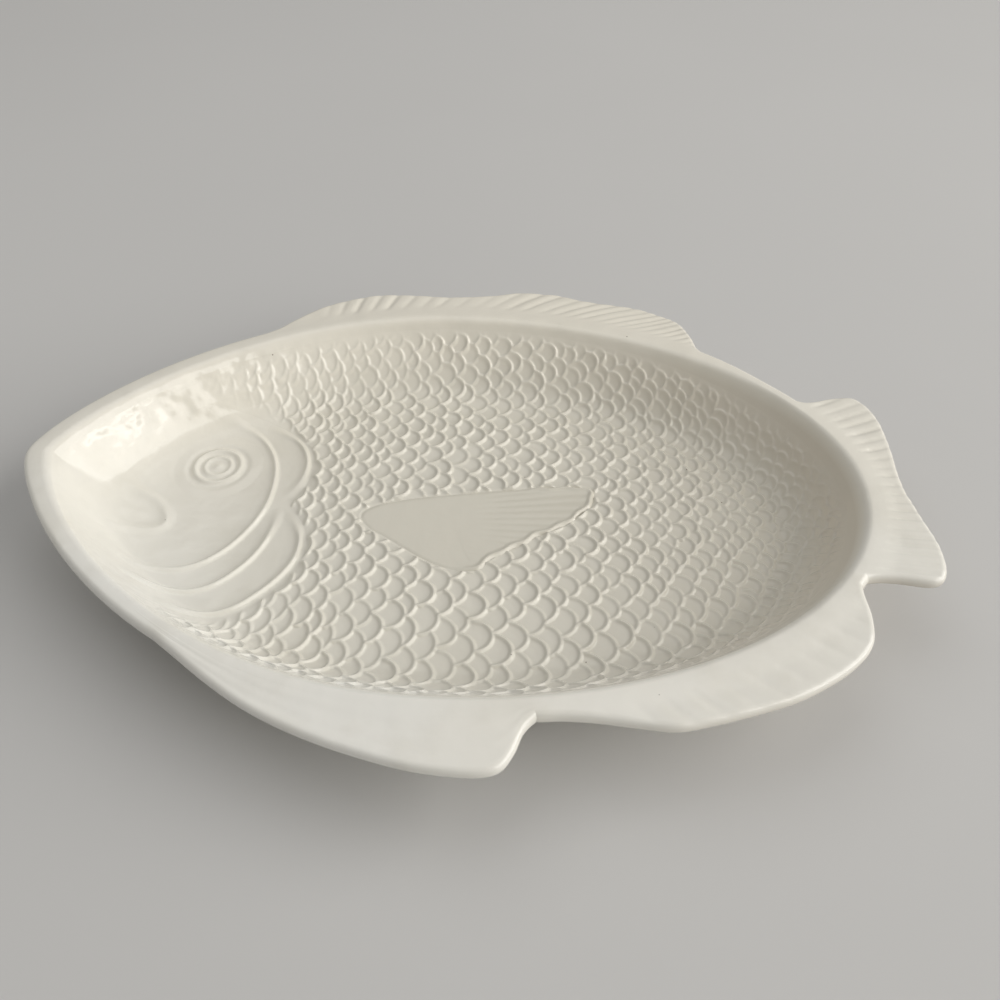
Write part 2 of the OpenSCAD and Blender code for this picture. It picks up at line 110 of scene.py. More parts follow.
MOUTH_LINE = [(-141, 1), (-131, 4.5), (-123, 6), (-116, 4), (-110, 1.6), (-105, -2), (-101.6, -6.8),
              (-101.2, -11), (-104.5, -13.6), (-111, -14.6), (-119, -14.5), (-126, -13), (-134, -10.5),
              (-141, -8)]
# Of each line behind the cheek: the points, how wide its back slope is dished, and over what share of its
# length each end fades
GILL_LINES = [(CHEEK_LINE, 8, 0.28), (UPPER_GILL_LINE, 4.5, 0.42), (MIDDLE_GILL_LINE, 4.5, 0.25),
              (LOWER_GILL_LINE, 5, 0.25)]
# Place along the fish where the mouth's ridge starts to show, and over what length it grows
MOUTH_FADE = (-131, 20)
# Middle of the low mound in the mouth, its half length and width, its turn in degrees, and its height as a
# share of the ridge's
MOUTH_MOUND = (-114.5, -6.5, 7.5, 2.6, -15, 0.5)
EYE_CENTRE = (-90.7, 20.1)
# Rings, dot and grooves of the eye: radius, half width, and height as a share of the eye's height
EYE_RINGS = [(8.6, 1.0, 0.8), (4.9, 0.85, 0.6), (0, 1.8, 0.6), (10.9, 1.2, -0.36), (6.8, 0.7, -0.12)]
# Outer radius of the dome under the eye, the run of its slope, and its height as a share
EYE_DOME = (18, 7, 0.42)
# Where the scales start behind the head, from the wall above the cheek down to the belly
SCALES_START = [(-145, 14), (-126, 23), (-112, 37), (-99, 45), (-87, 48), (-78, 46.8), (-70, 42.3),
                (-62.5, 37.5), (-57, 31), (-54.8, 23), (-55, 14.5), (-57.6, 7), (-58.4, 1.5),
                (-53.5, -4.5), (-49.6, -11.5), (-48.4, -19.5), (-49.6, -27), (-53.2, -35),
                (-58.4, -42.3), (-64, -47.8), (-71, -51.4), (-79, -53), (-88, -55.5), (-97, -60)]
# Outline of the side fin, from its head end over the back
SIDE_FIN_LINE = [(-32, -0.6), (-28.4, 4.4), (-18.9, 8.3), (-9.5, 10.9), (0, 12.8), (18.9, 16.6),
                 (37.8, 19.2), (48, 19.6), (51.4, 16.4), (49.8, 10.5), (46.5, 5.6), (41.8, 0.6),
                 (36.6, -3), (31.4, -6.2), (26.4, -10.6), (20.8, -14.4), (15.6, -19.2), (11.6, -23.6),
                 (3.5, -23.6), (-4.7, -20.8), (-14.2, -15.2), (-20.8, -11), (-28.4, -6.3)]
# The raised rear edge of the side fin runs between these two of its points
SIDE_FIN_REAR = (8, 17)

# Length of a scale along the fish, by place along it, and height of one across it, in millimetres
SCALE_LONG = [(-130, 7.6), (-60, 7.4), (-45, 8.0), (-20, 9.6), (10, 10.4), (40, 9.8), (70, 8.4),
              (100, 7.2), (150, 6.4)]
SCALE_TALL = [(-110, 13.5), (-70, 12.4), (-45, 11.6), (-20, 10.0), (10, 9.3), (50, 9.2), (75, 8.6),
              (110, 7.6)]
# How much wider they get across the fish, and the place along it that stays where it is
SCALE_SPREAD = [(-110, 1.2), (-60, 1.15), (-30, 1.07), (0, 1.0), (40, 0.96), (110, 0.94)]
SPREAD_FROM = -60
# How much their rows close up towards the tail
SCALE_CLOSE = [(-60, 1.0), (20, 1.0), (70, 0.9), (110, 0.8), (150, 0.74)]
# How far up the wall the scales reach, by place along the fish
SCALE_TOP = [(-125, 0.82), (-90, 0.87), (-50, 0.9), (50, 0.9), (85, 0.87), (110, 0.83), (140, 0.8)]
# Half height across the fish and length along it of one scale, as shares of its pitch
SCALE_HALF = 0.53
SCALE_DEEP = 0.56
# Turn of the scales' tips toward the back and the belly in degrees, and how far off the middle it grows
TIP_TURN = 17
TIP_TURN_RUN = 30
# Run over which a scale's rim sinks at its root, as a share of its pitch
SCALE_TAPER = 0.2
# Height of a scale's hollow, as a share of its rim's height
SCALE_HOLLOW = 0.12
# Widths in millimetres of a rim's crest, of the slope behind it and of its outer flank
RIM_CREST = 0.76
RIM_SLOPE = 3.0
RIM_FLANK = 0.72
# Share of a rim's height in its crest, and the mean height of a rim as a share of the full one
CREST_SHARE = 0.62
RIM_MEAN = 0.97
# How much each scale strays: millimetres along and across, degrees of turn, and shares of its height
# across, of its length and of its rim's height
STRAY = (1.05, 0.8, 11, 0.06, 0.12, 0.27)
# Shares of the rounding at a fin's edge where its mesh has a line, from the edge inwards
EDGE_LINES = np.array([0.02, 0.08, 0.18, 0.33, 0.52, 0.75])
# Where a fin ends beyond its span, so that it runs into the lip
FIN_END = 1.05


class ShellSizes(bpy.types.PropertyGroup):
    well_length: FloatProperty(name="Well length", description="Length between the lip's inner edges",
                               default=0.2815, unit="LENGTH")
    well_width: FloatProperty(name="Well width", description="Width between the lip's inner edges",
                              default=0.181, unit="LENGTH")
    end_run: FloatProperty(name="End run", description="Plan width of the coved wall at snout and tail",
                           default=0.0245, unit="LENGTH")
    side_run: FloatProperty(name="Side run", description="Plan width of the coved wall at back and belly",
                            default=0.0255, unit="LENGTH")
    lip_width: FloatProperty(name="Lip width", description="Width of the lip at the back of the head",
                             default=0.0085, unit="LENGTH")
    rim_thick: FloatProperty(name="Rim thickness", description="Thickness of the lip and the fins",
                             default=0.005, unit="LENGTH")
    wall_thick: FloatProperty(name="Wall thickness", description="Thickness of the coved wall",
                              default=0.005, unit="LENGTH")
    edge_drop: FloatProperty(name="Edge drop", description="Fall from the lip's crown to its edge",
                             default=0.0007, unit="LENGTH")
    fall_run: FloatProperty(name="Fall run", description="Width over which the lip falls outwards",
                            default=0.0115, unit="LENGTH")
    edge_round: FloatProperty(name="Edge round", description="Depth of the rounding on the outer edge",
                              default=0.0022, unit="LENGTH")
    around: IntProperty(name="Points round", description="Points round the dish", default=960)


class FinSizes(bpy.types.PropertyGroup):
    dorsal_reach: FloatProperty(name="Back fin", description="Reach of the back fin beyond the lip",
                                default=0.01646, unit="LENGTH")
    tail_reach: FloatProperty(name="Tail fin", description="Reach of the tail fin beyond the lip",
                              default=0.01996, unit="LENGTH")
    anal_reach: FloatProperty(name="Anal fin", description="Reach of the anal fin beyond the lip",
                              default=0.015, unit="LENGTH")
    pelvic_reach: FloatProperty(name="Belly fin", description="Reach of the belly fin beyond the lip",
                                default=0.0176, unit="LENGTH")
    rib_height: FloatProperty(name="Rib height", description="Height of a rib over its grooves",
                              default=0.0008, unit="LENGTH")


class ReliefSizes(bpy.types.PropertyGroup):
    scale_height: FloatProperty(name="Scale rim", description="Height of a scale's free edge",
                                default=0.00105, unit="LENGTH")
    gill_height: FloatProperty(name="Gill crest", description="Height of the crests behind the cheek",
                               default=0.00118, unit="LENGTH")
    mouth_height: FloatProperty(name="Mouth crest", description="Height of the crest round the mouth",
                                default=0.0008, unit="LENGTH")
    eye_height: FloatProperty(name="Eye rings", description="Height of the eye's outer ring",
                              default=0.0008, unit="LENGTH")
    side_fin_height: FloatProperty(name="Side fin edge", description="Height of the side fin's rear edge",
                                   default=0.0013, unit="LENGTH")
    scale_step: FloatProperty(name="Scale mesh step", description="Spacing of the mesh on the scales",
                              default=0.00037, unit="LENGTH")
    head_step: FloatProperty(name="Head mesh step", description="Spacing of the mesh on the head",
                             default=0.0004, unit="LENGTH")


class Finish(bpy.types.PropertyGroup):
    glaze: FloatVectorProperty(name="Glaze", description="Colour of the glaze on open surfaces",
                               subtype="COLOR", size=3, default=(0.90, 0.89, 0.835))
    glaze_warm: FloatVectorProperty(name="Glaze, warm", description="Glaze where it runs a little warmer",
                                    subtype="COLOR", size=3, default=(0.87, 0.825, 0.715))
    # Painted shade: this colour darkens the well's floor, and also gives random patches of thick glaze
    glaze_pool_and_painted_shade: FloatVectorProperty(name="Glaze, pooled", description="Glaze thick in patches, and painted shade on the well's floor",
                                    subtype="COLOR", size=3, default=(0.71, 0.68, 0.59))
    # Painted shade: the brown of the shaded wall at the tail end
    glaze_painted_tail_shade: FloatVectorProperty(name="Glaze, tail end", description="Painted shade, browner, on the wall at the tail end",
                                     subtype="COLOR", size=3, default=(0.54, 0.455, 0.34))
    speck: FloatVectorProperty(name="Specks", description="Colour of the sparse iron specks",
                               subtype="COLOR", size=3, default=(0.20, 0.15, 0.11))
    clay: FloatVectorProperty(name="Bare clay", description="Colour of the unglazed foot",
                              subtype="COLOR", size=3, default=(0.62, 0.51, 0.38))
    roughness: FloatProperty(name="Glaze roughness", description="Roughness of the glaze",
                             default=0.13, min=0, max=1)


class Studio(bpy.types.PropertyGroup):
    camera_x: FloatProperty(name="Camera X", description="Camera from the well's middle, to the tail",
                            default=0.0442, unit="LENGTH")
    camera_y: FloatProperty(name="Camera Y", description="Camera from the well's middle, to the back",
                            default=-0.2462, unit="LENGTH")
    camera_z: FloatProperty(name="Camera height", description="Camera over the well's upper edge",
                            default=0.2350, unit="LENGTH")
    camera_yaw: FloatProperty(name="Camera yaw", description="Turn of the camera to the left",
                              default=0.1025251, subtype="ANGLE")
    camera_pitch: FloatProperty(name="Camera pitch", description="Angle of the camera below level",
                                default=0.7828402, subtype="ANGLE")
    camera_roll: FloatProperty(name="Camera roll", description="Roll of the camera",
                               default=0.0142221, subtype="ANGLE")
    key_power: FloatProperty(name="Key lamp", description="Power of the window-like lamp in watts",
                             default=47.0)
    glint_power: FloatProperty(name="Glint lamp", description="Power of the low, narrow window lamp in watts",
                               default=5.0)
    fill_power: FloatProperty(name="Fill lamp", description="Power of the soft lamp overhead in watts",
                              default=3.6)
    sky: FloatProperty(name="Sky", description="Strength of the even light from all round", default=0.27)


def smooth_step(v):
    v = np.clip(v, 0, 1)
    return v * v * (3 - 2 * v)


def smooth_table(table, u):
    """A smooth value between the rows of a table, each row a place and its value."""
    place, value = np.array(table, float).T
    slope = np.empty_like(value)
    slope[1:-1] = (value[2:] - value[:-2]) / (place[2:] - place[:-2])
    slope[0] = (value[1] - value[0]) / (place[1] - place[0])
    slope[-1] = (value[-1] - value[-2]) / (place[-1] - place[-2])
    i = np.clip(np.searchsorted(place, u, side="right") - 1, 0, len(place) - 2)
    d = place[i + 1] - place[i]
    w = (u - place[i]) / d
    return (value[i] * (1 + 2 * w) * (1 - w) ** 2 + value[i + 1] * w * w * (3 - 2 * w)
            + d * slope[i] * w * (1 - w) ** 2 + d * slope[i + 1] * w * w * (w - 1))


def smooth_curve(points, shut=False, steps=6):
    """A smooth open or closed curve through points given in millimetres, in metres."""
    p = np.array(points, float) * MM
    n = len(p)
    knots = [p[(np.arange(n) + k) % n] if shut else p[np.clip(np.arange(n) + k, 0, n - 1)]
             for k in (-1, 0, 1, 2)]
    a, b, c, d = [k if shut else k[:-1] for k in knots]
    rows = []
    for w in np.arange(steps) / steps:
        rows.append(0.5 * (2 * b + (c - a) * w + (2 * a - 5 * b + 4 * c - d) * w * w
                           + (3 * b - 3 * c + d - a) * w ** 3))
    curve = np.stack(rows, 1).reshape(-1, 2)
    return curve if shut else np.vstack([curve, p[-1:]])


def along_curve(curve, x, y, shut=False):
    """Distance to a curve, positive on its left, and the share of its length at the nearest place."""
    start = curve if shut else curve[:-1]
    end = np.roll(curve, -1, 0) if shut else curve[1:]
    length = np.hypot(*(end - start).T)
    before = np.concatenate([[0], np.cumsum(length)])
    best = np.full(x.shape, np.inf)
    signed = np.zeros(x.shape)
    place = np.zeros(x.shape)
    for a, b, size, run in zip(start, end, length, before):
        ux, uy = (b - a) / size
        s = np.clip((x - a[0]) * ux + (y - a[1]) * uy, 0, size)
        px = x - a[0] - s * ux
        py = y - a[1] - s * uy
        gap = px * px + py * py
        side = ux * (y - a[1]) - uy * (x - a[0])
        near = gap < best
        best = np.where(near, gap, best)
        signed = np.where(near, np.sqrt(gap) * np.where(side >= 0, 1, -1), signed)
        place = np.where(near, run + s, place)
    return signed, place / before[-1]


def inside_curve(curve, x, y):
    """Whether points lie inside a closed curve."""
    hits = np.zeros(x.shape, bool)
    for a, b in zip(curve, np.roll(curve, -1, 0)):
        if a[1] == b[1]:
            continue
        level = (a[1] > y) != (b[1] > y)
        hits ^= level & (x < a[0] + (b[0] - a[0]) * (y - a[1]) / (b[1] - a[1]))
    return hits


def chance(i, j, k):
    """A fixed number from -1 to 1 for a place in a lattice."""
    v = np.sin(i * 12.9898 + j * 78.233 + k * 37.719) * 43758.5453
    return 2 * (v - np.floor(v)) - 1


class Form:
    """The lines of the dish, in metres from the middle of its well."""

    def __init__(self, scene):
        shell = scene.platter_shell
        self.shell = shell
        self.half_l = shell.well_length / 2
        self.half_w = shell.well_width / 2
        self.floor_hl = self.half_l - shell.end_run
        self.floor_hw = self.half_w - shell.side_run
        low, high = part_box("foot_ring")
        self.centre = Vector(((low.x + high.x) / 2, (low.y + high.y) / 2, 0))
        self.foot_h = high.z
        self.floor_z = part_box("scales")[0].z
        self.top_z = Vector(cad_box[1]).z
        self.depth = self.top_z - self.floor_z
        edge = self.well_edge(np.linspace(-math.pi, math.pi, 15 * TURN_STEPS + 1))
        self.ray_angle = np.arctan2(edge[:, 1], edge[:, 0])
        self.ray_angle[0] = -math.pi
        self.ray_reach = np.hypot(edge[:, 0], edge[:, 1])

    def well_edge(self, a):
        """The lip's inner edge, an oval that runs to a point at the head."""
        power = np.where(np.cos(a) < 0, HEAD_POWER, 1.0)
        return np.stack([self.half_l * np.cos(a),
                         self.half_w * np.sign(np.sin(a)) * np.abs(np.sin(a)) ** power], -1)

    def out_dir(self, a):
        """Outward direction square to the well's edge."""
        d = self.well_edge(a + TURN_STEP / 4) - self.well_edge(a - TURN_STEP / 4)
        return np.stack([d[..., 1], -d[..., 0]], -1) / np.hypot(d[..., 0], d[..., 1])[..., None]

    def lip_w(self, a):
        """Width of the lip."""
        return self.shell.lip_width * smooth_table(LIP_WIDTH_SHARES, np.mod(a / (2 * math.pi), 1))

    def beyond(self, a, t):
        """Places at a distance t outside the well's edge."""
        return self.well_edge(a) + self.out_dir(a) * np.asarray(t)[..., None]

    def floor_edge(self, a):
        """Foot of the coved wall, an ellipse."""
        w = self.well_edge(a)
        return w / np.hypot(w[:, 0] / self.floor_hl, w[:, 1] / self.floor_hw)[:, None]

    def cove(self, s):
        """Level of the coved wall at a share of its run."""
        return self.floor_z + self.depth * (1 - np.cos(math.pi / 2 * s))

    def plain_share(self, x, y):
        """Share of the way up the coved wall, less than nought on the floor, and the wall's plan width."""
        ray = np.arctan2(y, x)
        reach = np.hypot(x, y)
        foot = 1 / np.hypot(np.cos(ray) / self.floor_hl, np.sin(ray) / self.floor_hw)
        run = np.interp(ray, self.ray_angle, self.ray_reach) - foot
        return (reach - foot) / run, run

    def wall_share(self, x, y):
        """The same share, held at nought on the floor and just beyond the edge."""
        s, run = self.plain_share(x, y)
        return np.clip(s, 0, 1.2), run

    def soft_share(self, x, y):
        """The same share with a soft start, softest at the head, where the floor rises to the snout."""
        s, run = self.plain_share(x, y)
        body_soft, head_soft = 0.1, 0.38
        soft = body_soft + head_soft * smooth_step((-x / MM - 45) / 60)
        return (s + np.hypot(s, soft)) / (1 + np.hypot(1, soft)), run

    def level(self, x, y):
        """Level of the well's plain skin."""
        return self.cove(self.soft_share(x, y)[0])

    def lean(self, x, y):
        """How much longer a straight-up height is than one square to the surface."""
        s, run = self.soft_share(x, y)
        return np.hypot(1, self.depth * math.pi / 2 * np.sin(math.pi / 2 * s) / run)

    def laid_out(self, x, y):
        """Places on the well's skin, laid out flat from the middle."""
        s, run = self.wall_share(x, y)
        extra = np.zeros_like(s)
        steps = 10
        for k in range(steps):
            rise = self.depth * math.pi / 2 * np.sin(math.pi / 2 * s * (k + 0.5) / steps)
            extra += (np.hypot(run, rise) - run) * s / steps
        reach = np.hypot(x, y) + 1e-9
        return x * (1 + extra / reach), y * (1 + extra / reach)

    def rim_level(self, t, w):
        """Top of the lip and fins, without their edge's rounding."""
        crown = self.crown(w)
        return self.top_z - self.shell.edge_drop * smooth_step((t - crown) / (self.shell.fall_run - crown))

    def crown(self, w):
        """Distance of the lip's highest line from the well's edge, clear of the rounding beyond it."""
        return np.minimum(0.28 * w, w - 1.7 * self.shell.edge_round)

    def rounded(self, t, w, d, below):
        """Level of a rim's top or underside at a distance d in from its outer edge."""
        middle = self.top_z - self.shell.edge_drop / 2 - self.shell.rim_thick / 2
        face = self.top_z - self.shell.rim_thick if below else self.rim_level(t, w)
        rest = 1 - np.clip(d / self.shell.edge_round, 0, 1)
        fullness = 2.5
        return middle + (face - middle) * (1 - rest ** fullness) ** (1 / fullness)


def tube(rings):
    """A closed skin over a stack of rings, with its first and last ring capped."""
    count, segments, _ = rings.shape
    bm = bmesh.new()
    bmesh.ops.create_cone(bm, cap_ends=True, cap_tris=False, segments=segments, radius1=1, radius2=1,
                          depth=1)
    long_edges = [e for e in bm.edges if abs(e.verts[0].co.z - e.verts[1].co.z) > 0.5]
    bmesh.ops.subdivide_edges(bm, edges=long_edges, cuts=count - 2)
    # The points of the cone's rings are counted from +Y
    for v in bm.verts:
        k = round((v.co.z + 0.5) * (count - 1))
        m = round((math.atan2(v.co.y, v.co.x) / (2 * math.pi) - 0.25) * segments) % segments
        v.co = rings[k, m]
    bmesh.ops.recalc_face_normals(bm, faces=bm.faces)
    return bm


def finished(bm, name, form, material, slot, *nodes):
    """Turns a bmesh into a finished piece that rides on the dish and stands for its CAD nodes."""
    mesh = bpy.data.meshes.new(name)
    for f in bm.faces:
        f.smooth = True
    bm.to_mesh(mesh)
    bm.free()
    mesh.transform(Matrix.Translation(form.centre))
    piece = bpy.data.objects.new(name, mesh)
    bpy.context.scene.collection.objects.link(piece)
    mesh.materials.append(material)
    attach(piece, "root")
    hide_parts(*nodes)
    return piece


def patch(form, name, box, step, height, *nodes, own=None, ends=(-math.inf, math.inf), material=None):
    """A raised patch of the well's skin, closed a little way below it.

    box is its extent in millimetres, height(x, y) how high it stands over the plain skin, and ends cuts it
    off along the fish. Where height is nothing the patch dips under the skin and stops. A patch that lies
    on another names its own share of the height, and stops where that is nothing. The mesh carries the true
    normals of the field, so that its light is as even as that of a finer one.
    """
    dip = 0.04 * MM
    edge_height = 0.012 * MM
    low_by = 1.6 * MM
    xs = np.arange(box[0] * MM, box[1] * MM, step)
    ys = np.arange(box[2] * MM, box[3] * MM, step)
    x, y = np.meshgrid(xs, ys, indexing="ij")
    h = height(x, y)
    z = form.level(x, y) + (h - dip) * form.lean(x, y)
    up = np.stack([-np.gradient(z, step, axis=0), -np.gradient(z, step, axis=1), np.ones_like(z)], -1)
    up /= np.linalg.norm(up, axis=-1, keepdims=True)
    keep = ((own(x, y) if own else h) > edge_height) & (x > ends[0]) & (x < ends[1] + step / 2)
    cells = keep[:-1, :-1] & keep[1:, :-1] & keep[:-1, 1:] & keep[1:, 1:]
    cells = without_pinches(cells)
    bm = bmesh.new()
    bmesh.ops.create_grid(bm, x_segments=len(xs) - 1, y_segments=len(ys) - 1, size=0.5)
    up_layer = bm.verts.layers.float_vector.new("up")
    places = grid_places(bm.verts, len(xs) - 1, len(ys) - 1)
    for v, at in places.items():
        v.co = (x[at], y[at], z[at])
        v[up_layer] = up[at]
    keep_cells(bm, bm.faces, places, cells)
    close_below(bm, form, cells, xs, ys, low_by, up_layer)
    bmesh.ops.recalc_face_normals(bm, faces=bm.faces)
    piece = finished(bm, name, form, material or glaze_material(), "white_glaze", *nodes)
    normals = np.empty(len(piece.data.vertices) * 3)
    piece.data.attributes["up"].data.foreach_get("vector", normals)
    piece.data.normals_split_custom_set_from_vertices(normals.reshape(-1, 3).tolist())
    return piece


def grid_places(verts, ni, nj):
    """Row and column of each point of a grid, which is still one unit long and wide."""
    return {v: (round((v.co.x + 0.5) * ni), round((v.co.y + 0.5) * nj)) for v in verts}


def keep_cells(bm, faces, places, cells):
    """Deletes the faces of a grid that lie outside its marked cells."""
    unwanted = [f for f in faces if not cells[tuple(np.min([places[v] for v in f.verts], axis=0))]]
    bmesh.ops.delete(bm, geom=unwanted, context="FACES")


def without_pinches(cells, filled=True):
    """Fills or clears cells until none meet at a corner alone, so that a patch has a clean border."""
    while True:
        a, b, c, d = cells[:-1, :-1], cells[1:, :-1], cells[:-1, 1:], cells[1:, 1:]
        pinch = (a & d & ~b & ~c) | (b & c & ~a & ~d)
        if not pinch.any():
            return cells
        i, j = np.nonzero(pinch)
        cells[i, j] = cells[i + 1, j] = cells[i, j + 1] = cells[i + 1, j + 1] = filled


def close_below(bm, form, cells, xs, ys, low_by, up_layer):
    """Gives a patch short sides and a plain underside with far fewer faces."""
    rim = [e for e in bm.edges if e.is_boundary]
    sides = bmesh.ops.extrude_edge_only(bm, edges=rim)["geom"]
    for v in sides:
        if isinstance(v, bmesh.types.BMVert):
            v.co.z = form.level(v.co.x, v.co.y) - low_by
            v[up_layer] = (0, 0, 0)
    low_rim = [e for e in bm.edges if e.is_boundary]
    # Cells of the underside are this many times as long as those of the patch
    coarse = 10
    inner = cells.copy()
    for _ in range(coarse // 2):
        inner[1:-1, 1:-1] = (inner[1:-1, 1:-1] & inner[:-2, 1:-1] & inner[2:, 1:-1]
                             & inner[1:-1, :-2] & inner[1:-1, 2:])
    ni, nj = (len(xs) - 1) // coarse, (len(ys) - 1) // coarse
    blocks = inner[:ni * coarse, :nj * coarse].reshape(ni, coarse, nj, coarse).all(axis=(1, 3))
    blocks = without_pinches(blocks, filled=False)
    grid = bmesh.ops.create_grid(bm, x_segments=ni, y_segments=nj, size=0.5)["verts"]
    places = grid_places(grid, ni, nj)
    for v, (i, j) in places.items():
        at_x, at_y = xs[i * coarse], ys[j * coarse]
        v.co = (at_x, at_y, form.level(at_x, at_y) - low_by)
    keep_cells(bm, {f for v in grid for f in v.link_faces}, places, blocks)
    inner_rim = [e for e in bm.edges if e.is_boundary and e not in set(low_rim)]
    filled = bmesh.ops.triangle_fill(bm, use_beauty=True, use_dissolve=False, edges=low_rim + inner_rim,
                                     normal=(0, 0, -1))["geom"]
    # Short edges only, as a long one would cut the corner of the hollow wall and show above it
    faces = [g for g in filled if isinstance(g, bmesh.types.BMFace)]
    rims = set(low_rim + inner_rim)
    edges = list({e for f in faces for e in f.edges} - rims)
    bmesh.ops.beautify_fill(bm, faces=faces, edges=edges, method="ANGLE")


def crest(curve, x, y, tall, steep, dish, reach=0.3, fade=None):
    """A crest along a curve: steep on its left, dished for some way on its right, softer as it fades."""
    d, place = along_curve(curve, x, y)
    if fade is None:
        fade = smooth_step(place / reach) * smooth_step((1 - place) / reach)
    widening, dished = 1.6, 0.45
    steep = steep * (1 + widening * (1 - fade))
    left = np.exp(-(d / steep) ** 2)
    right = (1 - dished) * left + dished * np.exp(-np.abs(d) / dish)
    return tall * fade * np.where(d > 0, left, right)


def gill_height(relief, x, y):
    """The cheek and the three gill covers, lapped like roof tiles."""
    total = np.zeros(x.shape)
    steep = 0.9 * MM
    blend = 4
    for line, dish, reach in GILL_LINES:
        total += crest(smooth_curve(line), x, y, relief.gill_height, steep, dish * MM, reach) ** blend
    return total ** (1 / blend)


def mouth_height(relief, x, y):
    """The ridge round the mouth, fading toward the snout, and the low mound inside it."""
    steep, dish = 1.9 * MM, 5 * MM
    start, run = MOUTH_FADE
    ridge = crest(smooth_curve(MOUTH_LINE), x, y, relief.mouth_height, steep, dish,
                  fade=smooth_step((x / MM - start) / run))
    mid_x, mid_y, long, wide, turn, share = MOUTH_MOUND
    along = Vector((math.cos(math.radians(turn)), math.sin(math.radians(turn))))
    u = (x / MM - mid_x) * along.x + (y / MM - mid_y) * along.y
    v = (y / MM - mid_y) * along.x - (x / MM - mid_x) * along.y
    return ridge + share * relief.mouth_height * np.exp(-(u / long) ** 2 - (v / wide) ** 2)


def eye_height(relief, x, y):
    """Two rings, a dot and the grooves between them, on a low dome."""
    r = np.hypot(x - EYE_CENTRE[0] * MM, y - EYE_CENTRE[1] * MM) / MM
    reach, run, share = EYE_DOME
    total = share * smooth_step((reach - r) / run)
    for radius, wide, share in EYE_RINGS:
        total += share * np.exp(-((r - radius) / wide) ** 2)
    return relief.eye_height * total


def within_table(table, at):
    """A smooth value from a table, held beyond its first and last row."""
    return smooth_table(table, np.clip(at, table[0][0], table[-1][0]))


def running_count(pitch_table, at):
    """How many pitches lie between nought and a place, where the pitch changes along the way."""
    reach, per_mm = 200, 10
    grid = np.linspace(-reach, reach, 2 * reach * per_mm + 1)
    pitch = within_table(pitch_table, grid)
    count = np.concatenate([[0], np.cumsum((grid[1] - grid[0]) / pitch[:-1])])
    count -= np.interp(0, grid, count)
    return np.interp(at, grid, count), lambda c: np.interp(c, count, grid)


def scale_height(form, relief, x, y):
    """Staggered scales like roof tiles, each dished behind a raised rim that faces the tail."""
    far_x, far_y = form.laid_out(x, y)
    far_x = far_x / MM
    far_y = far_y / MM
    spread = within_table(SCALE_SPREAD, far_y)
    even_x = SPREAD_FROM + (far_x - SPREAD_FROM) / spread
    column, column_place = running_count(SCALE_LONG, even_x)
    close = within_table(SCALE_CLOSE, even_x)
    row, row_place = running_count(SCALE_TALL, far_y / close)
    long = within_table(SCALE_LONG, even_x) * spread
    tall = within_table(SCALE_TALL, far_y / close) * close
    turn = np.radians(TIP_TURN) * np.tanh(far_y / TIP_TURN_RUN)
    skin = np.full(x.shape, SCALE_HOLLOW)
    stray_x, stray_y, stray_turn, stray_tall, stray_long, stray_high = STRAY
    first = np.floor(2 * column).astype(int)
    # From the tail's side to the head's, so that each scale lies over those behind it
    for ahead in range(5, -3, -1):
        i = first + ahead
        parity = np.mod(i, 2)
        j0 = 2 * np.round((2 * row - parity) / 2).astype(int) + parity
        toward = np.where(2 * row - j0 >= 0, 2, -2)
        for j in (j0 + toward, j0):
            tip_x = column_place(i / 2)
            tip_y = row_place(j / 2) * within_table(SCALE_CLOSE, tip_x)
            tip_x = SPREAD_FROM + (tip_x - SPREAD_FROM) * within_table(SCALE_SPREAD, tip_y)
            tip_x = tip_x + stray_x * chance(i, j, 1)
            tip_y = tip_y + stray_y * chance(i, j, 2)
            angle = turn + np.radians(stray_turn) * chance(i, j, 3)
            dx = (far_x - tip_x) * np.cos(angle) + (far_y - tip_y) * np.sin(angle)
            dy = (far_y - tip_y) * np.cos(angle) - (far_x - tip_x) * np.sin(angle)
            half = SCALE_HALF * tall * (1 + stray_tall * chance(i, j, 4))
            deep = SCALE_DEEP * long * (1 + stray_long * chance(i, j, 5))
            high = RIM_MEAN + stray_high * chance(i, j, 6)
            ex = dx + deep
            r = np.hypot(np.maximum(ex, 0) / deep, dy / half) + 1e-6
            slope = np.hypot(np.maximum(ex, 0) / deep ** 2, dy / half ** 2) / r + 1e-6
            d = (1 - r) / slope
            rim = high * (CREST_SHARE * np.exp(-(d / RIM_CREST) ** 2)
                          + (1 - CREST_SHARE) * np.exp(-np.maximum(d, 0) / RIM_SLOPE))
            taper = np.exp(-(np.minimum(ex, 0) / (SCALE_TAPER * long)) ** 2)
            rim *= taper
            flank = high * np.exp(-(d / RIM_FLANK) ** 2) * taper
            skin = np.where(d > 0, np.maximum(rim, SCALE_HOLLOW), np.maximum(skin, flank))
    fade, ground = scale_fade(form, x, y)
    glaze_spread = 0.22 * MM
    ground_height = 0.09 * MM
    soft_skin = softened(skin, relief.scale_step, glaze_spread)
    return relief.scale_height * soft_skin * fade + ground_height * ground


def softened(field, step, spread):
    """A field blurred a little, as a glaze softens carving."""
    reach = int(math.ceil(3 * spread / step))
    weight = np.exp(-0.5 * (np.arange(-reach, reach + 1) * step / spread) ** 2)
    weight /= weight.sum()
    for axis in (0, 1):
        padded = np.concatenate([np.repeat(np.take(field, [0], axis), reach, axis), field,
                                 np.repeat(np.take(field, [-1], axis), reach, axis)], axis)
        field = sum(w * np.take(padded, np.arange(field.shape[axis]) + k, axis)
                    for k, w in enumerate(weight))
    return field


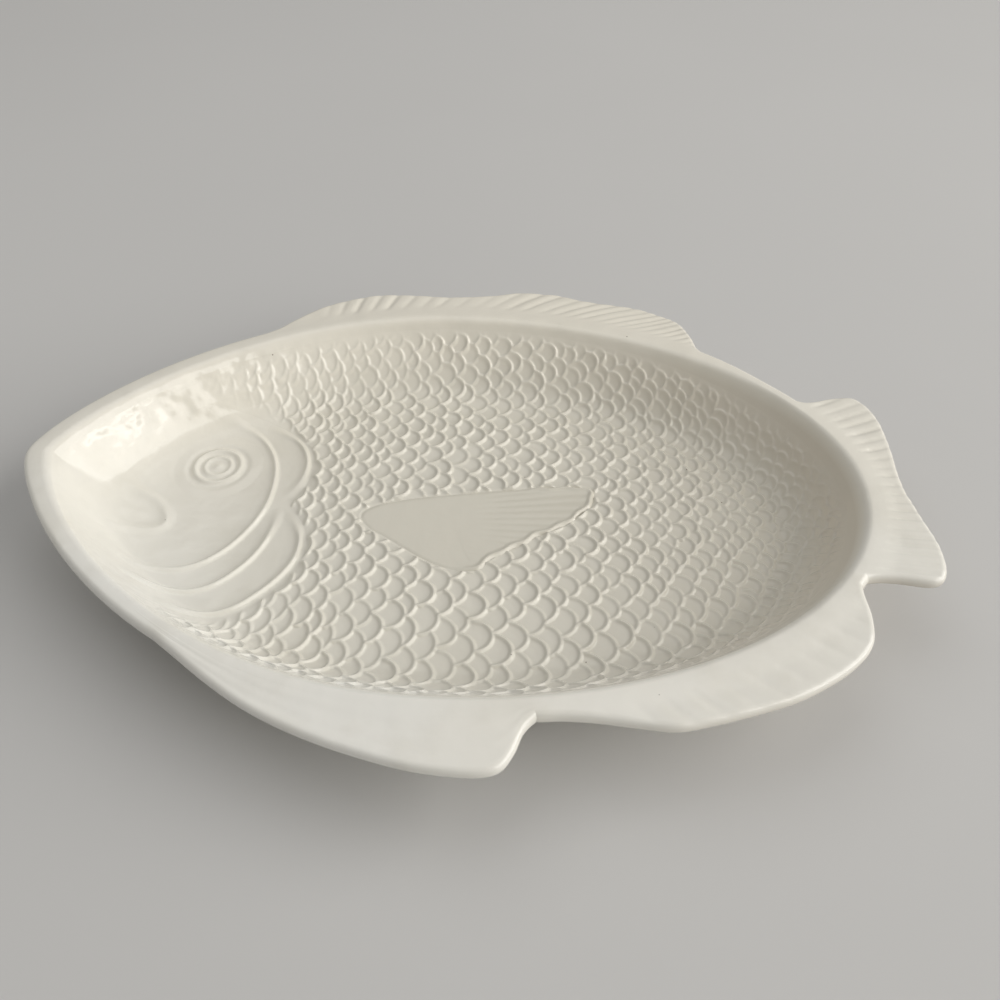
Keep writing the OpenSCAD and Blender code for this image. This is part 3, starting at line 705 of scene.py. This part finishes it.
def scale_fade(form, x, y):
    """Strength of the scales, and of the ground they stand on, falling to nought at their borders."""
    s, _ = form.wall_share(x, y)
    start = smooth_curve(SCALES_START)
    behind, _ = along_curve(start, x, y)
    side_fin = smooth_curve(SIDE_FIN_LINE, shut=True)
    off_fin, _ = along_curve(side_fin, x, y, shut=True)
    off_fin = np.where(inside_curve(side_fin, x, y), -np.abs(off_fin), np.abs(off_fin))
    # They end a little lower on the belly's wall, and softer
    belly = smooth_step(-y / (30 * MM))
    top_share = within_table(SCALE_TOP, x / MM) - 0.02 * belly
    top_run = 0.14 + 0.08 * belly
    # They start behind the gills within two millimetres, and above and below them over a longer run
    start_run = (2.2 + 10 * smooth_step((-x / MM - 62) / 14)) * MM
    fade = smooth_step((top_share - s) / top_run) * smooth_step(behind / start_run)
    ground = smooth_step((top_share + 0.03 - s) / 0.06) * smooth_step((behind + 1 * MM) / (2 * MM))
    off = smooth_step((off_fin + 0.4 * MM) / (1.2 * MM))
    # They are flatter on the wall at the back, most so near the head, and on the wall at the tail
    on_wall = smooth_step((s - 0.05) / 0.35)
    back_wall = on_wall * smooth_step(y / (20 * MM))
    kept = 0.42 + 0.4 * smooth_step((x / MM + 45) / 40) - 0.25 * smooth_step((x / MM - 85) / 25)
    tail_wall = on_wall * smooth_step((x / MM - 95) / 25) * (1 - back_wall)
    return fade * off * (1 - back_wall * (1 - kept)) * (1 - 0.4 * tail_wall), ground * off


def side_fin_height(relief, x, y):
    """A smooth plate: sunk flush at the head, with fine rays and a raised, scalloped rear edge."""
    line = smooth_curve(SIDE_FIN_LINE, shut=True)
    d, place = along_curve(line, x, y, shut=True)
    d = np.where(inside_curve(line, x, y), np.abs(d), -np.abs(d)) / MM
    knots = len(SIDE_FIN_LINE)
    first, last = [knot / knots for knot in SIDE_FIN_REAR]
    grow = 0.06
    rear = smooth_step((place - first + 0.05) / grow) * smooth_step((last + 0.04 - place) / grow)
    # The plate rises from its head end to its rear
    plate = 0.14 + 0.3 * np.clip((x / MM + 32) / 80, 0, 1)
    # The rear edge is scalloped, and its crest lies a little inside it
    scallop, crest_in = 0.4, 0.8
    d = d + scallop * rear * np.cos(2 * math.pi * 0.9 * knots * place)
    sharp, broad = 0.4, 0.16
    edge = np.where(d > crest_in, sharp * np.exp(-((d - crest_in) / 0.9) ** 2)
                    + broad * np.exp(-(d - crest_in) / 6), sharp + broad)
    # The rays fan out from a point ahead of the fin, one every few degrees
    fan_x, fan_y = x / MM + 60, y / MM + 2
    ray_pitch, ray_height = 2.1, 0.07
    fan = np.degrees(np.arctan2(fan_y, fan_x))
    rays = 0.5 + 0.5 * np.cos(2 * math.pi * fan / ray_pitch + 0.6 * np.sin(fan_x / 9))
    rays = ray_height * rays * smooth_step((x / MM - 2) / 22) * smooth_step((d - 0.6) / 2)
    side = smooth_step((d + 0.8) / 1.6)
    groove = smooth_step((d + 0.2) / 1.6)
    return relief.side_fin_height * (np.where(rear > 0, rear * (plate + edge) * side, 0)
                                     + (1 - rear) * plate * groove + rays)


def shell_rings(form):
    """Rings of the shell, from the floor's middle out, up the wall, over the lip and back below."""
    count = form.shell.around
    a = np.arange(count) * 2 * math.pi / count
    foot, edge, w = form.floor_edge(a), form.well_edge(a), form.lip_w(a)
    rings = []

    def ring(plan, z):
        rings.append(np.column_stack([plan, np.broadcast_to(z, count)]))

    last_share = 0.95
    floor_shares = np.concatenate([[0.1, 0.3, 0.5, 0.62], np.linspace(0.7, 1, 15)])
    for share in floor_shares:
        ring(foot * share, form.level(*(foot * share).T))
    for s in np.linspace(0, last_share, 34)[1:]:
        plan = foot + (edge - foot) * s
        ring(plan, form.level(*plan.T))
    # The crown rolls over from the wall to the lip
    wall_end = foot + (edge - foot) * last_share
    crown = form.beyond(a, form.crown(w))
    for k in np.linspace(0, 1, 10)[1:]:
        ring(wall_end * (1 - k) ** 2 + edge * 2 * k * (1 - k) + crown * k * k,
             form.level(*wall_end.T) * (1 - k) ** 2 + form.top_z * (2 * k * (1 - k) + k * k))
    # Rings round the lip's outer edge, closer where it turns faster
    round_depth = form.shell.edge_round
    turning = [0.8, 0.6, 0.42, 0.27, 0.15, 0.06, 0.01]
    for d in round_depth * np.array([1.6, 1.25, 1, *turning]):
        ring(form.beyond(a, w - d), form.rounded(w - d, w, d, False))
    ring(form.beyond(a, w), form.top_z - form.shell.edge_drop / 2 - form.shell.rim_thick / 2)
    for d in round_depth * np.array([*turning[::-1], 1.1]):
        ring(form.beyond(a, w - d), form.rounded(w - d, w, d, True))
    # The underside follows the coved wall at its thickness, down to the foot
    run = np.hypot(*(edge - foot).T)
    across = (edge - foot) / run[:, None]
    outer = []
    for s in np.linspace(0.9, 0.04, 13):
        steep = np.arctan(form.depth * math.pi / 2 * math.sin(math.pi / 2 * s) / run)
        plan = foot + (edge - foot) * s + across * (form.shell.wall_thick * np.sin(steep))[:, None]
        z = np.maximum(form.cove(s) - form.shell.wall_thick * np.cos(steep), form.foot_h)
        outer.append((plan, z))
    under = (form.beyond(a, w - round_depth * 1.1), form.top_z - form.shell.rim_thick)
    for k in (0.35, 0.7):
        ring(under[0] * (1 - k) + outer[0][0] * k, under[1] * (1 - k) + outer[0][1] * k)
    for plan, z in outer:
        ring(plan, z)
    ring(foot, form.foot_h)
    return np.array(rings)


def build_shell(scene):
    """The hollow dish: its floor, coved wall, lip and underside."""
    form = Form(scene)
    skin = tube(shell_rings(form))
    finished(skin, "dish_shell_glazed", form, glaze_material(), "white_glaze", "dish_shell")


def fin_rings(form, fin, reach, rib_height):
    """Sections of a fin from its first end to its last, each a loop over its top and back below."""
    first, last = [round(s * TURN_STEPS) * TURN_STEP for s in fin["span"]]
    run_in = fin["run_in"]
    # Beyond its span the fin's outline falls back inside the lip
    table = [(-run_in, -0.09), *fin["shares"], (FIN_END, -0.1)]
    root_turn = np.linspace(first, last, 200)
    root = form.beyond(root_turn, form.lip_w(root_turn))
    root_len = np.hypot(*np.diff(root, axis=0).T).sum()
    section_step = 0.42 * MM
    v = np.linspace(-run_in, FIN_END, int(root_len / section_step))
    a = first + (last - first) * v
    w = form.lip_w(a)
    reach_here = w + reach * smooth_table(table, v)
    outline = form.beyond(a, reach_here)
    rounding = 0.1
    out_share = np.concatenate([np.linspace(0, 1 - rounding, 30), 1 - rounding * EDGE_LINES[::-1], [1]])
    back_share = 1 - np.concatenate([rounding * EDGE_LINES, np.linspace(rounding, 1, 11)])
    start = form.crown(w)
    # The fin stands a trace over the lip it grows from, and its two ends sink a little into it
    over_lip, sinks, sink_run = 0.05 * MM, 0.09 * MM, 0.04
    sunk = sinks * (1 - smooth_step((v + run_in) / sink_run) * smooth_step((FIN_END - v) / sink_run))
    loops = []
    for shares_out, below in ((out_share, False), (back_share, True)):
        for c in shares_out:
            t = start + (reach_here - start) * c
            plan = form.beyond(a, t)
            d, _ = along_curve(outline, plan[:, 0], plan[:, 1])
            d = np.abs(d)
            z = form.rounded(t, w, d, below)
            lift = over_lip * np.clip((t - 0.6 * w) / (0.4 * w), -0.6, 1) ** 3 - sunk
            if below:
                z = z - lift
            else:
                off_edge = smooth_step(d / (3 * MM))
                z = z + lift
                if "ribs" in fin:
                    z = z + rib_relief(fin["ribs"], rib_height, v, root_len, (t - w) / MM, off_edge)
                if "streaks" in fin:
                    z = z + fin["streaks"] * (np.cos(2 * math.pi * 3.4 * c) * smooth_step(c / 0.4) * off_edge)
            loops.append(np.column_stack([plan, np.minimum(z, form.top_z)]))
    return np.array(loops).transpose(1, 0, 2)


def rib_relief(ribs, rib_height, v, root_len, beyond_lip, off_edge):
    """Ribs parted by grooves, each groove a little off its place and not quite as deep as the next."""
    shift = beyond_lip * np.tan(np.radians(smooth_table(ribs["slant"], v)))
    count, _ = running_count(ribs["pitch"], v * root_len / MM - shift)
    near = np.round(count)
    stray, half_width = 0.1, 0.21
    groove = np.exp(-((count - near - stray * chance(near, 1, 5)) / half_width) ** 2)
    groove *= 0.75 + 0.25 * chance(near, 2, 5)
    # They start on the lip and grow flatter at the edge
    tall = ribs["full"] * rib_height * smooth_table(ribs["shares"], np.clip(v, 0, 1))
    tall = tall * smooth_step((beyond_lip + 1.5) / 7) * (0.35 + 0.65 * off_edge)
    return tall * (0.1 - groove)


# Of each fin: span as shares of a turn, outline, reach, and how far its first end runs back into the lip.
# Of its ribs: pitch by millimetres along the root, slant in degrees and height by share of the span, and
# their full height as a share of the set one. The belly fin has faint streaks along it instead
FINS = {
    "dorsal_fin": {
        "span": (0.3385, 0.1458), "shares": DORSAL_SHARES, "reach": "dorsal_reach", "run_in": 0.09,
        "ribs": {
            "pitch": [(0, 6.5), (30, 6.0), (60, 7.0), (100, 6.4), (130, 5.2), (175, 4.4)],
            "slant": [(0, 16), (0.3, 26), (0.6, 42), (0.85, 52), (1, 40)],
            "shares": [(0, 0), (0.1, 0.25), (0.2, 0.9), (0.32, 0.8), (0.45, 0.3), (0.6, 0.8), (0.8, 1),
                       (1, 0.9)],
            "full": 0.85}},
    "tail_fin": {
        "span": (0.0833, -0.0573), "shares": TAIL_SHARES, "reach": "tail_reach", "run_in": 0.06,
        "ribs": {
            "pitch": [(0, 4.4), (40, 4.2), (80, 3.8), (110, 3.4)],
            "slant": [(0, 7), (0.34, -0.6), (0.53, 0), (0.72, -10), (1, -25)],
            "shares": [(0, 0.8), (0.25, 1), (0.45, 0.95), (0.7, 0.95), (0.9, 0.8), (1, 0.5)],
            "full": 0.7}},
    "anal_fin": {
        "span": (0.7917, 0.9323), "shares": ANAL_SHARES, "reach": "anal_reach", "run_in": 0.12,
        "ribs": {
            "pitch": [(0, 7.5), (60, 8.5), (110, 7.0)],
            "slant": [(0, 30), (0.6, 26), (1, 12)],
            "shares": [(0, 0.9), (0.3, 1), (0.6, 0.6), (1, 0.35)],
            "full": 0.42}},
    "pelvic_fin": {
        "span": (0.6667, 0.7917), "shares": PELVIC_SHARES, "reach": "pelvic_reach", "run_in": 0.18,
        "streaks": 0.03 * MM},
}


def build_fin(scene, name):
    """One fin on the lip, ribbed or streaked, with a rolled edge."""
    form = Form(scene)
    fins = scene.platter_fins
    fin = FINS[name]
    rings = fin_rings(form, fin, getattr(fins, fin["reach"]), fins.rib_height)
    finished(tube(rings), name + "_glazed", form, glaze_material(), "white_glaze", name)


def build_foot(scene):
    """The low ring under the dish, with softly rounded, wiped edges."""
    form = Form(scene)
    low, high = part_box("foot_ring")
    outer_l = (high.x - low.x) / 2
    outer_w = (high.y - low.y) / 2
    width = 5 * MM
    soft = 1.1 * MM
    top = high.z - 0.1 * MM
    corners = [(0, top), (0, soft), (0.3 * soft, 0.3 * soft), (soft, 0), (width - soft, 0),
               (width - 0.3 * soft, 0.3 * soft), (width, soft), (width, top)]
    bm = bmesh.new()
    bmesh.ops.create_circle(bm, segments=288, radius=1)
    edges = list(bm.edges)
    first = edges
    half_l, half_w = 1, 1
    for k, (inset, z) in enumerate(corners):
        if k:
            grown = bmesh.ops.extrude_edge_only(bm, edges=edges)["geom"]
            edges = [g for g in grown if isinstance(g, bmesh.types.BMEdge)]
        next_l, next_w = outer_l - inset, outer_w - inset
        for v in {v for e in edges for v in e.verts}:
            turn = math.atan2(v.co.y / half_w, v.co.x / half_l)
            v.co = (next_l * math.cos(turn), next_w * math.sin(turn), z)
        half_l, half_w = next_l, next_w
    bmesh.ops.bridge_loops(bm, edges=first + edges)
    bmesh.ops.recalc_face_normals(bm, faces=bm.faces)
    finished(bm, "foot_ring_bare", form, clay_material(), "bare_clay", "foot_ring")


def build_scales(scene):
    """The scales, in three patches along the fish."""
    form = Form(scene)
    relief = scene.platter_relief

    def height(x, y):
        return scale_height(form, relief, x, y)

    step = relief.scale_step
    cuts = [round(at * MM / step) * step for at in (-124, -22, 40, 141)]
    # Each is worked out a little past its ends, so that its softening matches its neighbour's
    overlap = 9 * step
    for name, low, high in zip(("scales_fore", "scales_middle", "scales_aft"), cuts, cuts[1:]):
        patch(form, name, ((low - overlap) / MM, (high + overlap) / MM, -90, 90), step, height, "scales",
              ends=(low - step / 2, high))


def build_side_fin(scene):
    """The side fin on the floor of the well."""
    form = Form(scene)
    relief = scene.platter_relief
    # Painted shade: the side fin takes the full painted shade of the well's floor
    patch(form, "pectoral_fin_glazed", (-36, 56, -28, 24), relief.head_step,
          lambda x, y: side_fin_height(relief, x, y), "pectoral_fin",
          material=glaze_material("warm_white_glaze_pooled", 1.0))


def build_head(scene):
    """The gill covers, and on their field the eye and the mouth."""
    form = Form(scene)
    relief = scene.platter_relief

    def gills(x, y):
        return gill_height(relief, x, y)

    def eye(x, y):
        return eye_height(relief, x, y)

    def mouth(x, y):
        return mouth_height(relief, x, y)

    patch(form, "gill_covers_glazed", (-130, -44, -58, 54), relief.head_step, gills, "gill_covers")
    patch(form, "eye_rings_glazed", (-110, -71, 1, 40), relief.head_step * 0.8,
          lambda x, y: eye(x, y) + gills(x, y), "eye_rings", own=eye)
    patch(form, "mouth_lips_glazed", (-137, -90, -26, 18), relief.head_step,
          lambda x, y: mouth(x, y) + gills(x, y), "mouth_lips", own=mouth)


def node_tree(material):
    """A material's nodes, its shader and the Object coordinates that its patterns follow."""
    material.use_nodes = True
    tree = material.node_tree
    shader = next(n for n in tree.nodes if n.type == "BSDF_PRINCIPLED")
    return tree, shader, tree.nodes.new("ShaderNodeTexCoord").outputs["Object"]


def noise(tree, at, scale, detail=3.0, rough=0.5):
    node = tree.nodes.new("ShaderNodeTexNoise")
    node.inputs["Scale"].default_value = scale
    node.inputs["Detail"].default_value = detail
    node.inputs["Roughness"].default_value = rough
    tree.links.new(at, node.inputs["Vector"])
    return node.outputs["Fac"]


def span_map(tree, value, low, high, out_low=0.0, out_high=1.0):
    """A value taken from one span to another, held at its ends."""
    node = tree.nodes.new("ShaderNodeMapRange")
    node.inputs["From Min"].default_value = low
    node.inputs["From Max"].default_value = high
    node.inputs["To Min"].default_value = out_low
    node.inputs["To Max"].default_value = out_high
    tree.links.new(value, node.inputs["Value"])
    return node.outputs["Result"]


def product(tree, first, *others):
    """Two or more values multiplied."""
    for other in others:
        node = tree.nodes.new("ShaderNodeMath")
        node.operation = "MULTIPLY"
        tree.links.new(first, node.inputs[0])
        tree.links.new(other, node.inputs[1])
        first = node.outputs["Value"]
    return first


def bump(tree, height, distance, strength=1.0):
    node = tree.nodes.new("ShaderNodeBump")
    node.inputs["Strength"].default_value = strength
    node.inputs["Distance"].default_value = distance
    tree.links.new(height, node.inputs["Height"])
    return node


def blend_colour(tree, share, first, second):
    """A blend of two colours, each a colour or another node's output."""
    node = tree.nodes.new("ShaderNodeMix")
    node.data_type = "RGBA"
    tree.links.new(share, node.inputs["Factor"])
    a, b = [s for s in node.inputs if s.type == "RGBA"]
    for socket, colour in ((a, first), (b, second)):
        if isinstance(colour, bpy.types.NodeSocket):
            tree.links.new(colour, socket)
        else:
            socket.default_value = (*colour, 1)
    return [s for s in node.outputs if s.type == "RGBA"][0]


def glaze_material(name="warm_white_glaze", pool_and_painted_shade=0.75):
    """Warm white glossy glaze, a little uneven, with painted shade on the well's floor and up the wall at the
    tail end, and sparse iron specks.
    """
    if name in bpy.data.materials:
        return bpy.data.materials[name]
    finish = bpy.context.scene.platter_finish
    material = bpy.data.materials.new(name)
    tree, shader, at = node_tree(material)
    place = tree.nodes.new("ShaderNodeSeparateXYZ")
    tree.links.new(at, place.inputs["Vector"])
    x, y, z = [place.outputs[axis] for axis in "XYZ"]
    # Warmer in clouds and toward the back
    cloud = span_map(tree, noise(tree, at, 14), 0.35, 0.65, 0, 0.35)
    colour = blend_colour(tree, cloud, tuple(finish.glaze), tuple(finish.glaze_warm))
    toward_back = span_map(tree, y, -50 * MM, 90 * MM, 0, 0.8)
    colour = blend_colour(tree, toward_back, colour, tuple(finish.glaze_warm))
    # Painted shade: the floor of the well darker and greyer, less so at the head
    deep = product(tree, span_map(tree, z, 21 * MM, 9 * MM, 0, pool_and_painted_shade),
                   span_map(tree, x, -95 * MM, -50 * MM, 0.3, 1))
    colour = blend_colour(tree, deep, colour, tuple(finish.glaze_pool_and_painted_shade))
    # Painted shade: browner and darker up the wall at the tail end
    tail_wall = product(tree, span_map(tree, z, 30.7 * MM, 27 * MM),
                        span_map(tree, x, 20 * MM, 140 * MM, 0, 0.5),
                        span_map(tree, z, 10 * MM, 19 * MM, 0.3, 1))
    colour = blend_colour(tree, tail_wall, colour, tuple(finish.glaze_painted_tail_shade))
    pool = span_map(tree, noise(tree, at, 60, 4), 0.52, 0.72, 0, 0.25)
    colour = blend_colour(tree, pool, colour, tuple(finish.glaze_pool_and_painted_shade))
    # Iron specks in a few of the cells
    cells = tree.nodes.new("ShaderNodeTexVoronoi")
    cells.inputs["Scale"].default_value = 120
    tree.links.new(at, cells.inputs["Vector"])
    dot = span_map(tree, cells.outputs["Distance"], 0.04, 0.018)
    split = tree.nodes.new("ShaderNodeSeparateColor")
    tree.links.new(cells.outputs["Color"], split.inputs["Color"])
    rare = span_map(tree, split.outputs["Green"], 0.8, 0.84)
    colour = blend_colour(tree, product(tree, dot, rare), colour, tuple(finish.speck))
    tree.links.new(colour, shader.inputs["Base Color"])
    # Glossier on the head's back wall, where the glaze ran and crinkled
    head_wall = product(tree, span_map(tree, z, 13 * MM, 18 * MM), span_map(tree, z, 30.5 * MM, 28 * MM),
                        span_map(tree, x, -50 * MM, -80 * MM), span_map(tree, y, -10 * MM, 10 * MM))
    rough = span_map(tree, noise(tree, at, 45), 0.3, 0.7, 0.75 * finish.roughness,
                     1.35 * finish.roughness)
    rough = product(tree, rough, span_map(tree, head_wall, 0, 1, 1, 0.75))
    tree.links.new(rough, shader.inputs["Roughness"])
    shader.inputs["IOR"].default_value = 1.5
    ripple = bump(tree, noise(tree, at, 120, 3, 0.4), 0.6 * MM, 0.5)
    runs = bump(tree, product(tree, head_wall, noise(tree, at, 140, 1, 0.4)), 0.9 * MM)
    tree.links.new(ripple.outputs["Normal"], runs.inputs["Normal"])
    tree.links.new(runs.outputs["Normal"], shader.inputs["Normal"])
    return material


def clay_material():
    """Bare fired clay of the foot: matt, grainy and scuffed darker in places."""
    name = "bare_fired_clay"
    if name in bpy.data.materials:
        return bpy.data.materials[name]
    finish = bpy.context.scene.platter_finish
    clay = tuple(finish.clay)
    material = bpy.data.materials.new(name)
    tree, shader, at = node_tree(material)
    dark = tuple(0.72 * c for c in clay)
    scuff = span_map(tree, noise(tree, at, 70, 6, 0.65), 0.45, 0.7)
    colour = blend_colour(tree, scuff, clay, dark)
    tree.links.new(colour, shader.inputs["Base Color"])
    shader.inputs["Roughness"].default_value = 0.85
    grain = bump(tree, noise(tree, at, 1500, 4), 0.1 * MM, 0.6)
    tree.links.new(grain.outputs["Normal"], shader.inputs["Normal"])
    return material


def build_stage(scene):
    """A plain pale floor, even light, three lamps and the camera of the photo."""
    studio = scene.platter_studio
    form = Form(scene)
    bm = bmesh.new()
    floor_half = 6
    bmesh.ops.create_grid(bm, x_segments=1, y_segments=1, size=floor_half)
    mesh = bpy.data.meshes.new("floor")
    bm.to_mesh(mesh)
    bm.free()
    floor = bpy.data.objects.new("floor", mesh)
    scene.collection.objects.link(floor)
    material = bpy.data.materials.new("pale_floor")
    tree, shader, at = node_tree(material)
    cloud = span_map(tree, noise(tree, at, 3), 0.3, 0.7)
    colour = blend_colour(tree, cloud, (0.62, 0.615, 0.605), (0.64, 0.635, 0.625))
    tree.links.new(colour, shader.inputs["Base Color"])
    shader.inputs["Roughness"].default_value = 0.9
    mesh.materials.append(material)
    world = bpy.data.worlds.new("studio")
    world.use_nodes = True
    background = world.node_tree.nodes["Background"]
    background.inputs["Color"].default_value = (1, 0.985, 0.96, 1)
    background.inputs["Strength"].default_value = studio.sky
    scene.world = world
    add_lamp(scene, "key", (0.915, -0.08, 0.55), 2.4, (2.9, 1.8), studio.key_power, (1, 0.98, 0.95))
    add_lamp(scene, "glint", (0.93, -0.1, 0.27), 2.4, (1.7, 0.3), studio.glint_power, (1, 0.99, 0.97))
    add_lamp(scene, "fill", (-0.3, 0.35, 1), 1.4, (1.4, 1.2), studio.fill_power, (1, 1, 0.99))
    camera = bpy.data.objects.new("camera", bpy.data.cameras.new("camera"))
    scene.collection.objects.link(camera)
    camera.data.sensor_width = 36
    camera.data.lens = 36
    camera.data.shift_x = -0.001
    camera.data.clip_start = 0.01
    # The well's upper edge lies a little under the lip's highest line
    edge_z = form.top_z - 0.8 * MM
    camera.location = form.centre + Vector((studio.camera_x, studio.camera_y, edge_z + studio.camera_z))
    camera.rotation_euler = camera_turn(studio).to_euler()
    scene.camera = camera
    scene.view_settings.view_transform = "Standard"


def camera_turn(studio):
    """The camera looks level to +Y, is turned left by its yaw, tipped down by its pitch and then rolled."""
    yaw = Matrix.Rotation(studio.camera_yaw, 3, "Z")
    pitch = Matrix.Rotation(math.pi / 2 - studio.camera_pitch, 3, "X")
    roll = Matrix.Rotation(-studio.camera_roll, 3, "Z")
    return yaw @ pitch @ roll


def add_lamp(scene, name, direction, distance, size, power, colour):
    """A window-like lamp that faces the dish from a direction."""
    direction = Vector(direction)
    lamp = bpy.data.lights.new(name, "AREA")
    lamp.shape = "RECTANGLE"
    lamp.size, lamp.size_y = size
    lamp.energy = power
    lamp.color = colour
    holder = bpy.data.objects.new(name, lamp)
    holder.location = direction.normalized() * distance
    holder.rotation_euler = direction.to_track_quat("Z", "Y").to_euler()
    scene.collection.objects.link(holder)


class PLATTER_OT_shell(bpy.types.Operator):
    """Make the coved shell with its rolled lip"""
    bl_idname = "platter.shell"
    bl_label = "Shell"

    def execute(self, context):
        build_shell(context.scene)
        return {"FINISHED"}


class PLATTER_OT_foot(bpy.types.Operator):
    """Make the bare clay foot ring"""
    bl_idname = "platter.foot"
    bl_label = "Foot ring"

    def execute(self, context):
        build_foot(context.scene)
        return {"FINISHED"}


class PLATTER_OT_fins(bpy.types.Operator):
    """Make the four ribbed fins on the lip"""
    bl_idname = "platter.fins"
    bl_label = "Fins"

    def execute(self, context):
        for name in FINS:
            build_fin(context.scene, name)
        return {"FINISHED"}


class PLATTER_OT_scales(bpy.types.Operator):
    """Make the moulded scales over the body"""
    bl_idname = "platter.scales"
    bl_label = "Scales"

    def execute(self, context):
        build_scales(context.scene)
        return {"FINISHED"}


class PLATTER_OT_side_fin(bpy.types.Operator):
    """Make the side fin on the well's floor"""
    bl_idname = "platter.side_fin"
    bl_label = "Side fin"

    def execute(self, context):
        build_side_fin(context.scene)
        return {"FINISHED"}


class PLATTER_OT_head(bpy.types.Operator):
    """Make the gill covers, the eye and the mouth"""
    bl_idname = "platter.head"
    bl_label = "Gills, eye and mouth"

    def execute(self, context):
        build_head(context.scene)
        return {"FINISHED"}


class PLATTER_OT_stage(bpy.types.Operator):
    """Set up the floor, the lamps and the camera"""
    bl_idname = "platter.stage"
    bl_label = "Stage"

    def execute(self, context):
        build_stage(context.scene)
        return {"FINISHED"}


PIECES = (PLATTER_OT_stage, PLATTER_OT_shell, PLATTER_OT_foot, PLATTER_OT_fins, PLATTER_OT_scales,
          PLATTER_OT_side_fin, PLATTER_OT_head)


class PLATTER_PT_panel(bpy.types.Panel):
    """Lists the pieces of the platter"""
    bl_idname = "PLATTER_PT_panel"
    bl_label = "Fish platter"
    bl_space_type = "VIEW_3D"
    bl_region_type = "UI"
    bl_category = "Platter"

    def draw(self, context):
        for group in GROUPS:
            sizes = getattr(context.scene, group)
            for name in sizes.__annotations__:
                self.layout.prop(sizes, name)
        for piece in PIECES:
            self.layout.operator(piece.bl_idname)


GROUPS = {"platter_shell": ShellSizes, "platter_fins": FinSizes, "platter_relief": ReliefSizes,
          "platter_finish": Finish, "platter_studio": Studio}
CLASSES = (*GROUPS.values(), *PIECES, PLATTER_PT_panel)


def register():
    for cls in CLASSES:
        bpy.utils.register_class(cls)
    for name, cls in GROUPS.items():
        setattr(bpy.types.Scene, name, PointerProperty(type=cls))


def unregister():
    for name in GROUPS:
        delattr(bpy.types.Scene, name)
    for cls in reversed(CLASSES):
        bpy.utils.unregister_class(cls)


def main():
    register()
    bpy.ops.platter.stage()
    bpy.ops.platter.shell()
    bpy.ops.platter.foot()
    bpy.ops.platter.fins()
    bpy.ops.platter.scales()
    bpy.ops.platter.side_fin()
    bpy.ops.platter.head()


if __name__ == "__main__":
    main()
